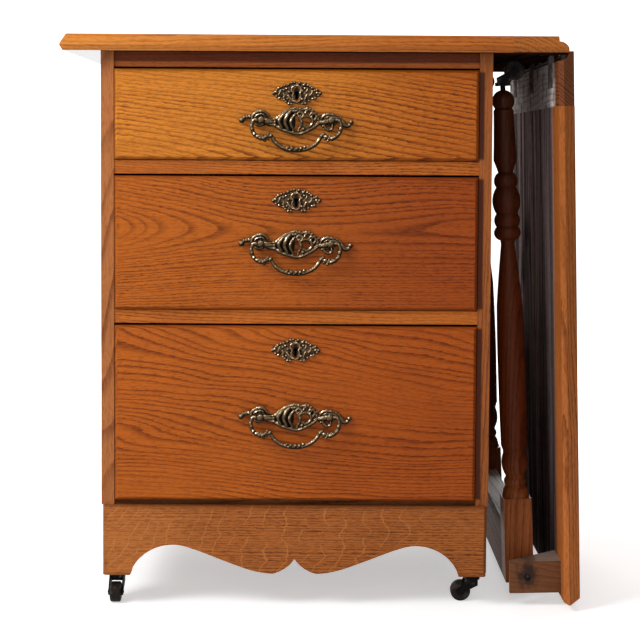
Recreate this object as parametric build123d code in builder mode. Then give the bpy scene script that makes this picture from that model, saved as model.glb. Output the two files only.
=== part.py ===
from build123d import *
import os
from math import asin, atan2, cos, degrees, hypot, radians, sin

os.makedirs("parts", exist_ok=True)

# Sewing cabinet with three drawers, a drop leaf on a rule joint and a folding pair of legs.
# Millimetres: X to the right, Y to the back, Z up from the floor, origin under the middle.

# Clearances
overrun = 5.0
running_gap = 0.05
part_gap = 0.3
drawer_gap = 1.0
drawer_top_gap = 3.0

# Worktop
top_thickness = 22.0
top_depth = 500.0
left_overhang = 51.0
front_overhang = 24.0
back_overhang = 10.0
end_strip_width = 60.0
edge_slope_run = 8.0
edge_slope_drop = 14.7
edge_under_run = 4.0
edge_nose_radius = 4.0

# Rule joint between worktop and leaf, with three back-flap hinges let into the undersides
hinge_overhang = 84.0
joint_fillet = 7.0
joint_radius = 12.5
joint_gap = 0.45
hinge_flap_length = 42.0
hinge_flap_thickness = 2.0
hinge_top_flap_reach = 32.0
hinge_leaf_flap_reach = 46.0
hinge_pin_radius = 1.2
hinge_knuckle_length = 14.0
hinge_place_shares = (-0.36, 0.0, 0.36)

# Case
case_width = 516.0
side_thickness = 17.0
back_thickness = 9.0
caster_height = 42.0
base_height = 94.0
bottom_board_thickness = 6.0
bottom_board_setback = 9.0
top_rail_height = 19.5
top_rail_setback = 6.0
rail_depth = 60.0
rail_setback = 1.5
rail_thickness = 17.75
runner_width = 26.0

# Base under the case
apron_thickness = 20.0
apron_proud = 6.0
apron_end_inset = 2.5
apron_end_bevel = 3.0
post_size = 34.0
skirt_thickness = 20.0
skirt_height = 55.0

# Apron's lower outline: share of the half length from its end, share of its height
apron_foot_share = 0.142
apron_wave_shares = (
    (0.166, 0.155),
    (0.202, 0.268),
    (0.254, 0.365),
    (0.30, 0.413),
    (0.355, 0.437),
    (0.41, 0.426),
    (0.452, 0.395),
    (0.53, 0.32),
    (0.60, 0.245),
    (0.678, 0.165),
    (0.745, 0.10),
    (0.817, 0.05),
)
apron_lobe_shares = (0.887, 0.03)
apron_lobe_rise_shares = (0.955, 0.115)
apron_cusp_share = 0.24

# Drawers: height of each front, and how far its pull lies below the middle
drawer_front_heights = {"bottom_drawer": 233.5, "middle_drawer": 176.5, "top_drawer": 119.0}
pull_drops = {"bottom_drawer": 3.0, "middle_drawer": 0.0, "top_drawer": 7.5}
drawer_front_thickness = 20.0
drawer_front_proud = 5.0
drawer_front_bevel = 4.0
drawer_board_thickness = 11.0
drawer_bottom_thickness = 6.0
drawer_bottom_rise = 8.0
drawer_side_drop = 16.0
drawer_back_room = 27.0

# Drawer lock and its cast escutcheon
keyhole_drop = 31.0
keyhole_radius = 2.6
keyhole_slot_width = 3.0
keyhole_slot_drop = 8.0
lock_width = 46.0
lock_height = 40.0
lock_depth = 12.0
lock_bolt_width = 12.0
lock_bolt_depth = 5.0
lock_bolt_rise = 2.0
escutcheon_width = 64.0
escutcheon_height = 31.0
escutcheon_thickness = 2.6

# Bail pull
pull_plate_thickness = 3.0
pull_plate_width = 58.0
pull_plate_height = 35.0
# Piercings of the plate: place and half size, as shares of its half width and half height
pull_piercing_shares = (
    (-0.64, 0.0, 0.09, 0.34),
    (-0.32, 0.0, 0.1, 0.56),
    (0.06, -0.12, 0.16, 0.44),
    (0.48, -0.05, 0.15, 0.36),
)
pull_arm_width = 8.0
pull_tip_spread = 148.0
pull_tip_radius = 4.5
pull_boss_radius = 9.0
post_spread = 92.0
post_radius = 3.6
bail_standoff = 11.0
post_head = 0.8
bail_wire_radius = 2.7
bail_pin_radius = 1.7
bail_shoulder = 0.6
bail_spread = 111.0
bail_lobe_drop = 21.0
bail_waist_spread = 66.0
bail_foot_spread = 30.0
bail_drop = 38.5
bail_bend_radius = 5.0

# Drop leaf, hanging a little outwards
leaf_reach = 732.0
leaf_strip_reach = 71.5
leaf_lean = 1.46

# Folding legs on the leaf
cheek_width = 69.0
cheek_height = 43.0
cheek_depth = 54.0
cheek_nose_depth = 7.0
cheek_front_inset = 26.0
cheek_back_inset = 10.0
cheek_end_margin = 10.8
pivot_standoff = 45.0
pivot_pin_radius = 5.0
pivot_pin_depth = 26.0
leg_block_size = 38.5
leg_block_length = 115.0
leg_block_tail = 18.0
leg_axis_offset = 5.3
leg_ball_radius = 15.0
leg_case_gap = 6.0
leg_stow_gap = 5.0
stretcher_thickness = 30.0
stretcher_height = 81.0

# Turned profile from the block to the ball foot: ends of each stretch and the bulge between them,
# as shares of the turned length and of half the block's size
leg_start_share = 0.955
leg_line_shares = {
    "collar": (0.019, 0.85),
    "cove": (0.028, 0.69),
    "neck_low": (0.052, 0.66),
    "waist": (0.114, 0.80),
}
leg_ring_shares = ((0.040, 0.80), (0.048, 0.69))
leg_vase_shares = ((0.083, 0.93), (0.109, 0.80))
leg_shoulder_shares = (0.128, 0.93)
leg_column_shares = ((0.30, 0.985), (0.473, 0.92))
leg_taper_shares = ((0.555, 0.70), (0.623, 0.485))
leg_neck_shares = (0.634, 0.52)
leg_bead_shares = (
    ((0.649, 0.937), (0.667, 0.75)),
    ((0.683, 0.905), (0.699, 0.74)),
    ((0.732, 0.99), (0.764, 0.69)),
    ((0.7825, 0.83), (0.80, 0.52)),
)
leg_foot_rise_shares = (0.83, 0.82)
leg_foot_shares = ((0.888, 0.75), (0.951, 0.705))
leg_ankle_shares = (0.956, 0.60)
leg_ball_centre_share = 0.9786
leg_ball_end_shares = (1.0, 0.24)

# Casters, the same under the case and on the legs
caster_plate_radius = 14.0
caster_plate_thickness = 2.0
caster_neck = 6.0
caster_crown_radius = 10.5
caster_crown_thickness = 4.5
caster_yoke_half = 7.0
caster_web_height = 7.0
caster_stem_radius = 3.5
caster_stem_length = 30.0
caster_trail = 16.0
caster_arm_thickness = 2.0
caster_arm_gap = 0.9
caster_boss_radius = 5.0
caster_axle_radius = 2.0
caster_rivet_rise = 0.8
wheel_radius = 13.5
wheel_width = 14.0
wheel_round = 2.5
hub_radius = 6.0
hub_dish = 1.0

# Heights of the case, from the floor up
base_top_z = caster_height + base_height
cell_floor_z = base_top_z + bottom_board_thickness
drawer_names = list(drawer_front_heights)
cell_bottoms = {}
stack_z = cell_floor_z
for drawer_name in drawer_names:
    cell_bottoms[drawer_name] = stack_z
    stack_z += drawer_front_heights[drawer_name] + drawer_gap + drawer_top_gap + rail_thickness
cell_top_z = stack_z - rail_thickness
top_under_z = cell_top_z + top_rail_height
top_z = top_under_z + top_thickness
joint_depth = joint_fillet + joint_radius
hinge_z = top_z - joint_depth
hinge_under = top_thickness - joint_depth

# Places across and along
lean_sin = sin(radians(leaf_lean))
lean_cos = cos(radians(leaf_lean))
leaf_far = joint_depth * lean_cos + (leaf_reach - edge_slope_run) * lean_sin
top_left_x = -(left_overhang + case_width + hinge_overhang + leaf_far) / 2
case_left_x = top_left_x + left_overhang
case_right_x = case_left_x + case_width
case_middle_x = (case_left_x + case_right_x) / 2
inner_left_x = case_left_x + side_thickness
inner_right_x = case_right_x - side_thickness
inner_width = case_width - 2 * side_thickness
hinge_x = case_right_x + hinge_overhang
seam_x = hinge_x - end_strip_width
front_y = -top_depth / 2
back_y = top_depth / 2
case_front_y = front_y + front_overhang
case_back_y = back_y - back_overhang
inner_back_y = case_back_y - back_thickness
apron_back_y = case_front_y - apron_proud + apron_thickness

hinge_places = [share * top_depth for share in hinge_place_shares]
corner_low = (Align.MIN, Align.MIN, Align.MIN)


def save(builder, name):
    builder.part.label = name
    export_step(builder.part, f"parts/{name}.step")


def plank(low, high):
    """A board between two opposite corners."""
    size = Vector(*high) - Vector(*low)
    return Pos(*low) * Box(size.X, size.Y, size.Z, align=corner_low, mode=Mode.PRIVATE)


def moulded_section(plane):
    """Section across a board from front to back, with both edges sloped and rounded under."""
    with BuildSketch(plane) as section:
        with BuildLine():
            Polyline(
                (front_y + edge_slope_run, 0),
                (back_y - edge_slope_run, 0),
                (back_y, -edge_slope_drop),
                (back_y - edge_under_run, -top_thickness),
                (front_y + edge_under_run, -top_thickness),
                (front_y, -edge_slope_drop),
                close=True,
            )
        make_face()
        noses = section.vertices().sort_by(Axis.Y)
        fillet([noses[0], noses[-1]], radius=edge_nose_radius)
    return section.sketch


# Case boards
with BuildPart() as left_side_panel:
    add(plank((case_left_x, case_front_y, base_top_z), (inner_left_x, case_back_y, top_under_z)))
save(left_side_panel, "left_side_panel")

with BuildPart() as right_side_panel:
    add(plank((inner_right_x, case_front_y, base_top_z), (case_right_x, case_back_y, top_under_z)))
save(right_side_panel, "right_side_panel")

with BuildPart() as back_panel:
    add(plank((inner_left_x, inner_back_y, base_top_z), (inner_right_x, case_back_y, top_under_z)))
save(back_panel, "back_panel")

with BuildPart() as bottom_board:
    board_front_y = case_front_y + bottom_board_setback
    add(plank((inner_left_x, board_front_y, base_top_z), (inner_right_x, inner_back_y, cell_floor_z)))
save(bottom_board, "bottom_board")

with BuildPart() as top_rail:
    rail_front_y = case_front_y + top_rail_setback
    rail_back_y = rail_front_y + rail_depth
    add(plank((inner_left_x, rail_front_y, cell_top_z), (inner_right_x, rail_back_y, top_under_z)))
save(top_rail, "top_rail")

rail_names = {"middle_drawer": "lower_drawer_rail", "top_drawer": "upper_drawer_rail"}
for drawer_name, rail_name in rail_names.items():
    rail_top_z = cell_bottoms[drawer_name]
    rail_low_z = rail_top_z - rail_thickness
    rail_front_y = case_front_y + rail_setback
    rail_back_y = rail_front_y + rail_depth
    with BuildPart() as drawer_rail:
        add(plank((inner_left_x, rail_front_y, rail_low_z), (inner_right_x, rail_back_y, rail_top_z)))
    save(drawer_rail, rail_name)

# Runners carry the upper two drawers, and kickers under the worktop keep the top drawer level
runner_tops = [cell_bottoms["middle_drawer"], cell_bottoms["top_drawer"]]
runner_fronts = {z: case_front_y + rail_setback + rail_depth for z in runner_tops}
with BuildPart() as drawer_runners:
    for runner_x in (inner_left_x, inner_right_x - runner_width):
        for runner_top_z in runner_tops:
            low = (runner_x, runner_fronts[runner_top_z], runner_top_z - rail_thickness)
            add(plank(low, (runner_x + runner_width, inner_back_y, runner_top_z)))
        kicker_front_y = case_front_y + top_rail_setback + rail_depth
        low = (runner_x, kicker_front_y, cell_top_z)
        add(plank(low, (runner_x + runner_width, inner_back_y, top_under_z)))
save(drawer_runners, "drawer_runners")

# Base: scalloped apron in front, corner posts for the casters, plain skirts at sides and back
apron_half = case_width / 2 - apron_end_inset


def apron_point(shares):
    return ((shares[0] - 1) * apron_half, shares[1] * base_height)


apron_plane = Plane(
    origin=(case_middle_x, apron_back_y, caster_height), x_dir=(1, 0, 0), z_dir=(0, -1, 0)
)
with BuildPart() as front_apron:
    with BuildSketch(apron_plane):
        with BuildLine() as apron_line:
            foot_in = apron_point((apron_foot_share, 0))
            lobe = apron_point(apron_lobe_shares)
            cusp = apron_point((1, apron_cusp_share))
            crown = (0, base_height)
            wave = [apron_point(shares) for shares in apron_wave_shares]
            Polyline(cusp, crown, (-apron_half, base_height), (-apron_half, 0), foot_in)
            Spline(foot_in, *wave, lobe)
            ThreePointArc(lobe, apron_point(apron_lobe_rise_shares), cusp)
        make_face()
        mirror(about=Plane.YZ)
    extrude(amount=apron_thickness)
    apron_front = front_apron.faces().sort_by(Axis.Y)[0]
    apron_ends = apron_front.edges().filter_by(Axis.Z).sort_by(Axis.X)
    chamfer([apron_ends[0], apron_ends[-1]], length=apron_end_bevel)
save(front_apron, "front_apron")

front_post_y = apron_back_y
back_post_y = case_back_y - post_size
post_corners = {
    "front_left": (case_left_x, front_post_y),
    "front_right": (case_right_x - post_size, front_post_y),
    "rear_left": (case_left_x, back_post_y),
    "rear_right": (case_right_x - post_size, back_post_y),
}
stem_hole_radius = caster_stem_radius + running_gap
post_socket_depth = caster_stem_length + part_gap
with BuildPart() as corner_posts:
    for post_x, post_y in post_corners.values():
        low = (post_x, post_y, caster_height)
        add(plank(low, (post_x + post_size, post_y + post_size, base_top_z)))
    post_middles = [(x + post_size / 2, y + post_size / 2, caster_height) for x, y in post_corners.values()]
    with Locations(*post_middles):
        Cylinder(
            stem_hole_radius,
            post_socket_depth,
            align=(Align.CENTER, Align.CENTER, Align.MIN),
            mode=Mode.SUBTRACT,
        )
save(corner_posts, "corner_posts")

skirt_low_z = base_top_z - skirt_height
with BuildPart() as base_skirts:
    for skirt_x in (case_left_x, case_right_x - skirt_thickness):
        low = (skirt_x, front_post_y + post_size, skirt_low_z)
        add(plank(low, (skirt_x + skirt_thickness, back_post_y, base_top_z)))
    low = (case_left_x + post_size, case_back_y - skirt_thickness, skirt_low_z)
    add(plank(low, (case_right_x - post_size, case_back_y, base_top_z)))
save(base_skirts, "base_skirts")

with BuildPart() as caster_plates:
    for post_x, post_y in post_corners.values():
        middle = (post_x + post_size / 2, post_y + post_size / 2, caster_height)
        with BuildSketch(Plane.XY.offset(caster_height)):
            with Locations(middle[:2]):
                Circle(caster_plate_radius)
                Circle(stem_hole_radius, mode=Mode.SUBTRACT)
    extrude(amount=-caster_plate_thickness)
save(caster_plates, "caster_plates")

# Worktop
top_section_plane = Plane(origin=(top_left_x, 0, top_z), x_dir=(0, 1, 0), z_dir=(1, 0, 0))
with BuildPart() as top_panel:
    extrude(moulded_section(top_section_plane), amount=seam_x - top_left_x)
    with BuildSketch(Plane.XZ) as end_outline:
        with BuildLine():
            Polyline(
                (top_left_x + edge_slope_run, top_z),
                (seam_x, top_z),
                (seam_x, top_under_z),
                (top_left_x + edge_under_run, top_under_z),
                (top_left_x, top_z - edge_slope_drop),
                close=True,
            )
        make_face()
        fillet(end_outline.vertices().sort_by(Axis.X)[0], radius=edge_nose_radius)
    extrude(amount=top_depth, both=True, mode=Mode.INTERSECT)
save(top_panel, "top_panel")

knuckle_radius = hinge_under
knuckle_reach = knuckle_radius + part_gap + hinge_flap_thickness / 4
hinge_lines = [(hinge_x, y, hinge_z) for y in hinge_places]
strip_section_plane = Plane(origin=(seam_x, 0, top_z), x_dir=(0, 1, 0), z_dir=(1, 0, 0))
round_mid = (hinge_x + joint_radius * sin(radians(45)), hinge_z + joint_radius * cos(radians(45)))
with BuildPart() as top_end_strip:
    with BuildSketch(Plane.XZ):
        with BuildLine():
            round_top = (hinge_x, hinge_z + joint_radius)
            round_end = (hinge_x + joint_radius, hinge_z)
            Polyline((seam_x, top_under_z), (seam_x, top_z), (hinge_x, top_z), round_top)
            ThreePointArc(round_top, round_mid, round_end)
            Polyline(round_end, (hinge_x + joint_radius, top_under_z), (seam_x, top_under_z))
        make_face()
    extrude(amount=top_depth, both=True)
    extrude(
        moulded_section(strip_section_plane), amount=end_strip_width + top_thickness, mode=Mode.INTERSECT
    )
    pocket_length = hinge_flap_length + 2 * part_gap
    pocket_reach = joint_radius + overrun
    for place in hinge_places:
        low = (hinge_x - knuckle_reach, place - pocket_length / 2, top_under_z - overrun)
        pocket_top_z = top_under_z + hinge_flap_thickness + part_gap
        add(plank(low, (hinge_x + pocket_reach, place + pocket_length / 2, pocket_top_z)), mode=Mode.SUBTRACT)
        low = (hinge_x - hinge_top_flap_reach, place - hinge_flap_length / 2, top_under_z - overrun)
        high = (hinge_x, place + hinge_flap_length / 2, top_under_z + hinge_flap_thickness)
        add(plank(low, high), mode=Mode.SUBTRACT)
    with Locations(*hinge_lines):
        Cylinder(knuckle_radius + part_gap, pocket_length, rotation=(90, 0, 0), mode=Mode.SUBTRACT)
save(top_end_strip, "top_end_strip")

# Hinges: the outer knuckles go with the worktop's flap, the middle one with the leaf's
side_knuckle_length = (hinge_flap_length - hinge_knuckle_length) / 2
side_knuckle_offset = (hinge_flap_length - side_knuckle_length) / 2
side_knuckle_run = side_knuckle_length - part_gap


def knuckle_sides(place):
    return [place - side_knuckle_offset - part_gap / 2, place + side_knuckle_offset + part_gap / 2]


with BuildPart() as hinge_top_flaps:
    for place in hinge_places:
        low = (hinge_x - hinge_top_flap_reach, place - hinge_flap_length / 2, top_under_z)
        high = (hinge_x - knuckle_reach, place + hinge_flap_length / 2, top_under_z + hinge_flap_thickness)
        add(plank(low, high))
        for side_y in knuckle_sides(place):
            low = (hinge_x - knuckle_reach, side_y - side_knuckle_run / 2, top_under_z)
            add(plank(low, (hinge_x, side_y + side_knuckle_run / 2, top_under_z + hinge_flap_thickness)))
            with Locations((hinge_x, side_y, hinge_z)):
                Cylinder(knuckle_radius, side_knuckle_run, rotation=(90, 0, 0))
    with Locations(*hinge_lines):
        Cylinder(hinge_pin_radius, hinge_flap_length + overrun, rotation=(90, 0, 0), mode=Mode.SUBTRACT)
save(hinge_top_flaps, "hinge_top_flaps")

with BuildPart() as hinge_pins:
    with Locations(*hinge_lines):
        Cylinder(hinge_pin_radius, hinge_flap_length, rotation=(90, 0, 0))
save(hinge_pins, "hinge_pins")

# The leaf is drawn in its own section: along it from the hinge line, and up from that line to its face
leaf_along = (lean_sin, 0, -lean_cos)
leaf_out = (lean_cos, 0, lean_sin)
leaf_plane = Plane(origin=(hinge_x, 0, hinge_z), x_dir=leaf_along, z_dir=(0, -1, 0))
leaf_face_origin = leaf_plane.from_local_coords((0, joint_depth, 0))
leaf_section_plane = Plane(origin=leaf_face_origin, x_dir=(0, 1, 0), z_dir=leaf_along)
cove_radius = joint_radius + joint_gap
cove_mid = (cove_radius * cos(radians(45)), cove_radius * sin(radians(45)))


def leaf_plank(low, high):
    """A block on the leaf, by distances along it, up from the hinge line and to the front."""
    size = Vector(*high) - Vector(*low)
    block = Pos(*low) * Box(size.X, size.Y, size.Z, align=corner_low, mode=Mode.PRIVATE)
    return block.moved(leaf_plane.location)


with BuildPart() as leaf_hinge_strip:
    with BuildSketch(leaf_plane):
        with BuildLine():
            Polyline(
                (cove_radius, 0),
                (cove_radius, -hinge_under),
                (leaf_strip_reach, -hinge_under),
                (leaf_strip_reach, joint_depth),
                (joint_gap, joint_depth),
                (joint_gap, cove_radius),
                (0, cove_radius),
            )
            ThreePointArc((0, cove_radius), cove_mid, (cove_radius, 0))
        make_face()
    extrude(amount=top_depth, both=True)
    add(
        leaf_plank((-overrun, 0, -top_depth), (joint_gap, joint_depth, top_depth)), mode=Mode.SUBTRACT
    )
    extrude(moulded_section(leaf_section_plane), amount=leaf_strip_reach, mode=Mode.INTERSECT)
    for place in hinge_places:
        low = (0, -hinge_under - overrun, -place - hinge_flap_length / 2)
        high = (hinge_leaf_flap_reach, hinge_flap_thickness - hinge_under, -place + hinge_flap_length / 2)
        add(leaf_plank(low, high), mode=Mode.SUBTRACT)
save(leaf_hinge_strip, "leaf_hinge_strip")

with BuildPart() as leaf_panel:
    with BuildSketch(leaf_plane):
        with BuildLine():
            Polyline(
                (leaf_strip_reach, joint_depth),
                (leaf_reach - edge_slope_run, joint_depth),
                (leaf_reach, joint_depth - edge_slope_drop),
                (leaf_reach - edge_under_run, -hinge_under),
                (leaf_strip_reach, -hinge_under),
                close=True,
            )
        make_face()
    extrude(amount=top_depth, both=True)
    free_nose = leaf_panel.edges().filter_by(Axis.Y).sort_by(Axis.Z)[0]
    fillet(free_nose, radius=edge_nose_radius)
    extrude(moulded_section(leaf_section_plane), amount=leaf_reach, mode=Mode.INTERSECT)
save(leaf_panel, "leaf_panel")

with BuildPart() as hinge_leaf_flaps:
    for place in hinge_places:
        flap_top = hinge_flap_thickness - hinge_under
        low = (knuckle_reach, -hinge_under, -place - hinge_flap_length / 2)
        high = (hinge_leaf_flap_reach, flap_top, -place + hinge_flap_length / 2)
        add(leaf_plank(low, high))
        tab_half = hinge_knuckle_length / 2 - part_gap
        add(leaf_plank((0, -hinge_under, -place - tab_half), (knuckle_reach, flap_top, -place + tab_half)))
        with Locations((hinge_x, place, hinge_z)):
            Cylinder(knuckle_radius, 2 * tab_half, rotation=(90, 0, 0))
    with Locations(*hinge_lines):
        Cylinder(
            hinge_pin_radius + running_gap, hinge_flap_length, rotation=(90, 0, 0), mode=Mode.SUBTRACT
        )
save(hinge_leaf_flaps, "hinge_leaf_flaps")

# Pivot of the folding legs: a wedge-shaped cheek at each end, screwed to the leaf, holds an iron pin
pivot_along = leaf_reach - cheek_end_margin - cheek_height / 2
pivot_up = -hinge_under - pivot_standoff
pivot = leaf_plane.from_local_coords((pivot_along, pivot_up, 0))
cheek_front_y = front_y + cheek_front_inset
cheek_back_y = back_y - cheek_back_inset
cheek_plane = Plane(
    origin=leaf_plane.from_local_coords((pivot_along - cheek_height / 2, -hinge_under, 0)),
    x_dir=leaf_plane.y_dir,
    z_dir=leaf_plane.x_dir,
)

with BuildPart() as pivot_cheeks:
    for end_y, inward in ((cheek_front_y, 1), (cheek_back_y, -1)):
        with BuildSketch(cheek_plane):
            with BuildLine():
                Polyline(
                    (0, -end_y),
                    (-cheek_width, -end_y),
                    (-cheek_width, -end_y - inward * cheek_nose_depth),
                    (0, -end_y - inward * cheek_depth),
                    close=True,
                )
            make_face()
        extrude(amount=cheek_height)
    with Locations((pivot.X, (cheek_front_y + cheek_back_y) / 2, pivot.Z)):
        Cylinder(pivot_pin_radius, top_depth, rotation=(90, 0, 0), mode=Mode.SUBTRACT)
save(pivot_cheeks, "pivot_cheeks")

# The legs' blocks stand clear of the sloping backs of the cheeks through their whole swing
leg_half = leg_block_size / 2
leg_swing = hypot(leg_block_tail, leg_half - leg_axis_offset)
cheek_slope = (cheek_depth - cheek_nose_depth) / cheek_width
leg_inset = cheek_depth - cheek_slope * (pivot_standoff - leg_swing) + part_gap
leg_rows = {
    "front_leg": cheek_front_y + leg_inset + leg_half,
    "rear_leg": cheek_back_y - leg_inset - leg_half,
}

pin_length = leg_inset + pivot_pin_depth
with BuildPart() as pivot_pins:
    pin_middles = [cheek_front_y + pin_length / 2, cheek_back_y - pin_length / 2]
    with Locations(*[(pivot.X, y, pivot.Z) for y in pin_middles]):
        Cylinder(pivot_pin_radius, pin_length, rotation=(90, 0, 0))
save(pivot_pins, "pivot_pins")

# Stowed, the legs reach from the pivot to just under the worktop and lean towards the case; with the
# leaf up the same length brings their casters to the floor
leg_shoulder = leg_block_length - leg_block_tail
leg_caster_reach = caster_height - caster_plate_thickness
leg_turned_length = top_under_z - pivot.Z - leg_shoulder - leg_caster_reach - leg_stow_gap
ball_run = leg_shoulder + leg_ball_centre_share * leg_turned_length
ball_room = pivot.X - case_right_x - leg_ball_radius - leg_case_gap
leg_lean = asin(ball_room / hypot(ball_run, leg_axis_offset)) - atan2(leg_axis_offset, ball_run)
leg_up = (-sin(leg_lean), 0, cos(leg_lean))
leg_side = (cos(leg_lean), 0, sin(leg_lean))
leg_end = leg_shoulder + leg_turned_length


def leg_frame(y):
    """Frame on a leg's axis level with the pivot: X towards the leaf, Z towards the ball foot."""
    axis_point = pivot - leg_axis_offset * Vector(*leg_side)
    return Plane(origin=(axis_point.X, y, axis_point.Z), x_dir=leg_side, z_dir=leg_up)


def turned_point(shares):
    return (shares[1] * leg_half, leg_shoulder + shares[0] * leg_turned_length)


with BuildPart() as leg_model:
    with BuildSketch(Plane.XY.offset(-leg_block_tail)):
        Rectangle(leg_block_size, leg_block_size)
    extrude(amount=leg_block_length)
    with BuildSketch(Plane.XZ):
        with BuildLine() as turned_line:
            collar = turned_point((0, leg_start_share))
            rim = turned_point(leg_line_shares["collar"])
            cove = turned_point(leg_line_shares["cove"])
            Polyline((0, leg_shoulder), collar, rim, cove)
            ring_mid, ring_end = [turned_point(shares) for shares in leg_ring_shares]
            ThreePointArc(cove, ring_mid, ring_end)
            neck_low = turned_point(leg_line_shares["neck_low"])
            Line(ring_end, neck_low)
            vase_mid, vase_end = [turned_point(shares) for shares in leg_vase_shares]
            ThreePointArc(neck_low, vase_mid, vase_end)
            waist = turned_point(leg_line_shares["waist"])
            shoulder = turned_point(leg_shoulder_shares)
            Polyline(vase_end, waist, shoulder)
            column_mid, column_end = [turned_point(shares) for shares in leg_column_shares]
            ThreePointArc(shoulder, column_mid, column_end)
            taper_mid, taper_end = [turned_point(shares) for shares in leg_taper_shares]
            ThreePointArc(column_end, taper_mid, taper_end)
            bead_start = turned_point(leg_neck_shares)
            Line(taper_end, bead_start)
            for bead_shares in leg_bead_shares:
                bead_mid, bead_end = [turned_point(shares) for shares in bead_shares]
                ThreePointArc(bead_start, bead_mid, bead_end)
                bead_start = bead_end
            foot_rise = turned_point(leg_foot_rise_shares)
            Line(bead_start, foot_rise)
            foot_mid, foot_end = [turned_point(shares) for shares in leg_foot_shares]
            ThreePointArc(foot_rise, foot_mid, foot_end)
            ankle = turned_point(leg_ankle_shares)
            Line(foot_end, ankle)
            ball_side = (leg_ball_radius, ball_run)
            ball_end = turned_point(leg_ball_end_shares)
            ThreePointArc(ankle, ball_side, ball_end)
            Polyline(ball_end, (0, leg_end), (0, leg_shoulder))
        make_face()
    revolve(axis=Axis.Z)
    with Locations((0, 0, leg_end)):
        Cylinder(
            stem_hole_radius,
            post_socket_depth + caster_plate_thickness,
            align=(Align.CENTER, Align.CENTER, Align.MAX),
            mode=Mode.SUBTRACT,
        )
    with Locations((leg_axis_offset, 0, 0)):
        Cylinder(
            pivot_pin_radius + running_gap, 2 * leg_block_size, rotation=(90, 0, 0), mode=Mode.SUBTRACT
        )

for leg_name, leg_y in leg_rows.items():
    with BuildPart() as leg:
        add(leg_model.part.moved(leg_frame(leg_y).location))
    save(leg, leg_name)

stretcher_frame = leg_frame(0)
stretcher_front_y = leg_rows["front_leg"] + leg_half
stretcher_back_y = leg_rows["rear_leg"] - leg_half
with BuildPart() as leg_stretcher:
    stretcher_low = (-leg_half, stretcher_front_y, -leg_block_tail)
    stretcher_high = (stretcher_thickness - leg_half, stretcher_back_y, stretcher_height - leg_block_tail)
    add(plank(stretcher_low, stretcher_high).moved(stretcher_frame.location))
save(leg_stretcher, "leg_stretcher")

# Casters, drawn with the wheel down and trailing to +X, from the face that carries the plate
axle_drop = caster_height - wheel_radius
crown_top = -caster_plate_thickness - caster_neck
crown_low = crown_top - caster_crown_thickness
arm_inner = wheel_width / 2 + caster_arm_gap
arm_outer = arm_inner + caster_arm_thickness
web_low = crown_low - caster_web_height
with BuildPart() as fork_model:
    with BuildSketch(Plane.XY.offset(crown_low)):
        Circle(caster_crown_radius)
    extrude(amount=caster_crown_thickness)
    with BuildSketch(Plane.XY.offset(crown_top)):
        Circle(caster_stem_radius)
    extrude(amount=caster_stem_length - crown_top)
    for arm_y in (arm_inner + caster_arm_thickness, -arm_inner):
        with BuildSketch(Plane.XZ.offset(-arm_y)):
            with BuildLine():
                Polyline(
                    (-caster_yoke_half, crown_top),
                    (caster_yoke_half, crown_top),
                    (caster_trail + caster_boss_radius, -axle_drop),
                    (caster_trail - caster_boss_radius, -axle_drop),
                    (-caster_yoke_half, web_low),
                    close=True,
                )
            make_face()
            with Locations((caster_trail, -axle_drop)):
                Circle(caster_boss_radius)
                Circle(caster_axle_radius, mode=Mode.SUBTRACT)
        extrude(amount=caster_arm_thickness)
    web_front = caster_arm_thickness - caster_yoke_half
    add(plank((-caster_yoke_half, -arm_outer, web_low), (web_front, arm_outer, crown_top)))

with BuildPart() as axle_model:
    with Locations((caster_trail, 0, -axle_drop)):
        Cylinder(caster_axle_radius, 2 * (arm_outer + caster_rivet_rise), rotation=(90, 0, 0))

with BuildPart() as wheel_model:
    with Locations((caster_trail, 0, -axle_drop)):
        Cylinder(wheel_radius, wheel_width, rotation=(90, 0, 0))
    fillet(wheel_model.edges().filter_by(GeomType.CIRCLE), radius=wheel_round)
    wheel_faces = [(caster_trail, side * wheel_width / 2, -axle_drop) for side in (-1, 1)]
    with Locations(*wheel_faces):
        Cylinder(hub_radius, 2 * hub_dish, rotation=(90, 0, 0), mode=Mode.SUBTRACT)
    with Locations((caster_trail, 0, -axle_drop)):
        Cylinder(
            caster_axle_radius + running_gap, wheel_width + overrun, rotation=(90, 0, 0), mode=Mode.SUBTRACT
        )

caster_trails = {
    "front_left": (0, -1, 0),
    "front_right": (-1, 0, 0),
    "rear_left": (1, 0, 0),
    "rear_right": (-1, 0, 0),
}
caster_frames = {}
for corner, (post_x, post_y) in post_corners.items():
    foot = (post_x + post_size / 2, post_y + post_size / 2, caster_height)
    caster_frames[f"{corner}_caster"] = Plane(origin=foot, x_dir=caster_trails[corner], z_dir=(0, 0, 1))
leg_crown = leg_end - caster_plate_thickness
for leg_name, leg_y in leg_rows.items():
    foot = leg_frame(leg_y).from_local_coords((0, 0, leg_crown))
    down = tuple(-part for part in leg_up)
    caster_frames[f"{leg_name}_caster"] = Plane(origin=foot, x_dir=leg_side, z_dir=down)

for caster_name, caster_frame in caster_frames.items():
    with BuildPart() as caster_fork:
        add(fork_model.part.moved(caster_frame.location))
    with BuildPart() as caster_axle:
        add(axle_model.part.moved(caster_frame.location))
    caster_fork.part.label = "fork"
    caster_axle.part.label = "axle"
    fork_group = Compound(label=f"{caster_name}_fork", children=[caster_fork.part, caster_axle.part])
    export_step(fork_group, f"parts/{caster_name}_fork.step")
    with BuildPart() as caster_wheel:
        add(wheel_model.part.moved(caster_frame.location))
    save(caster_wheel, f"{caster_name}_wheel")

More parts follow.
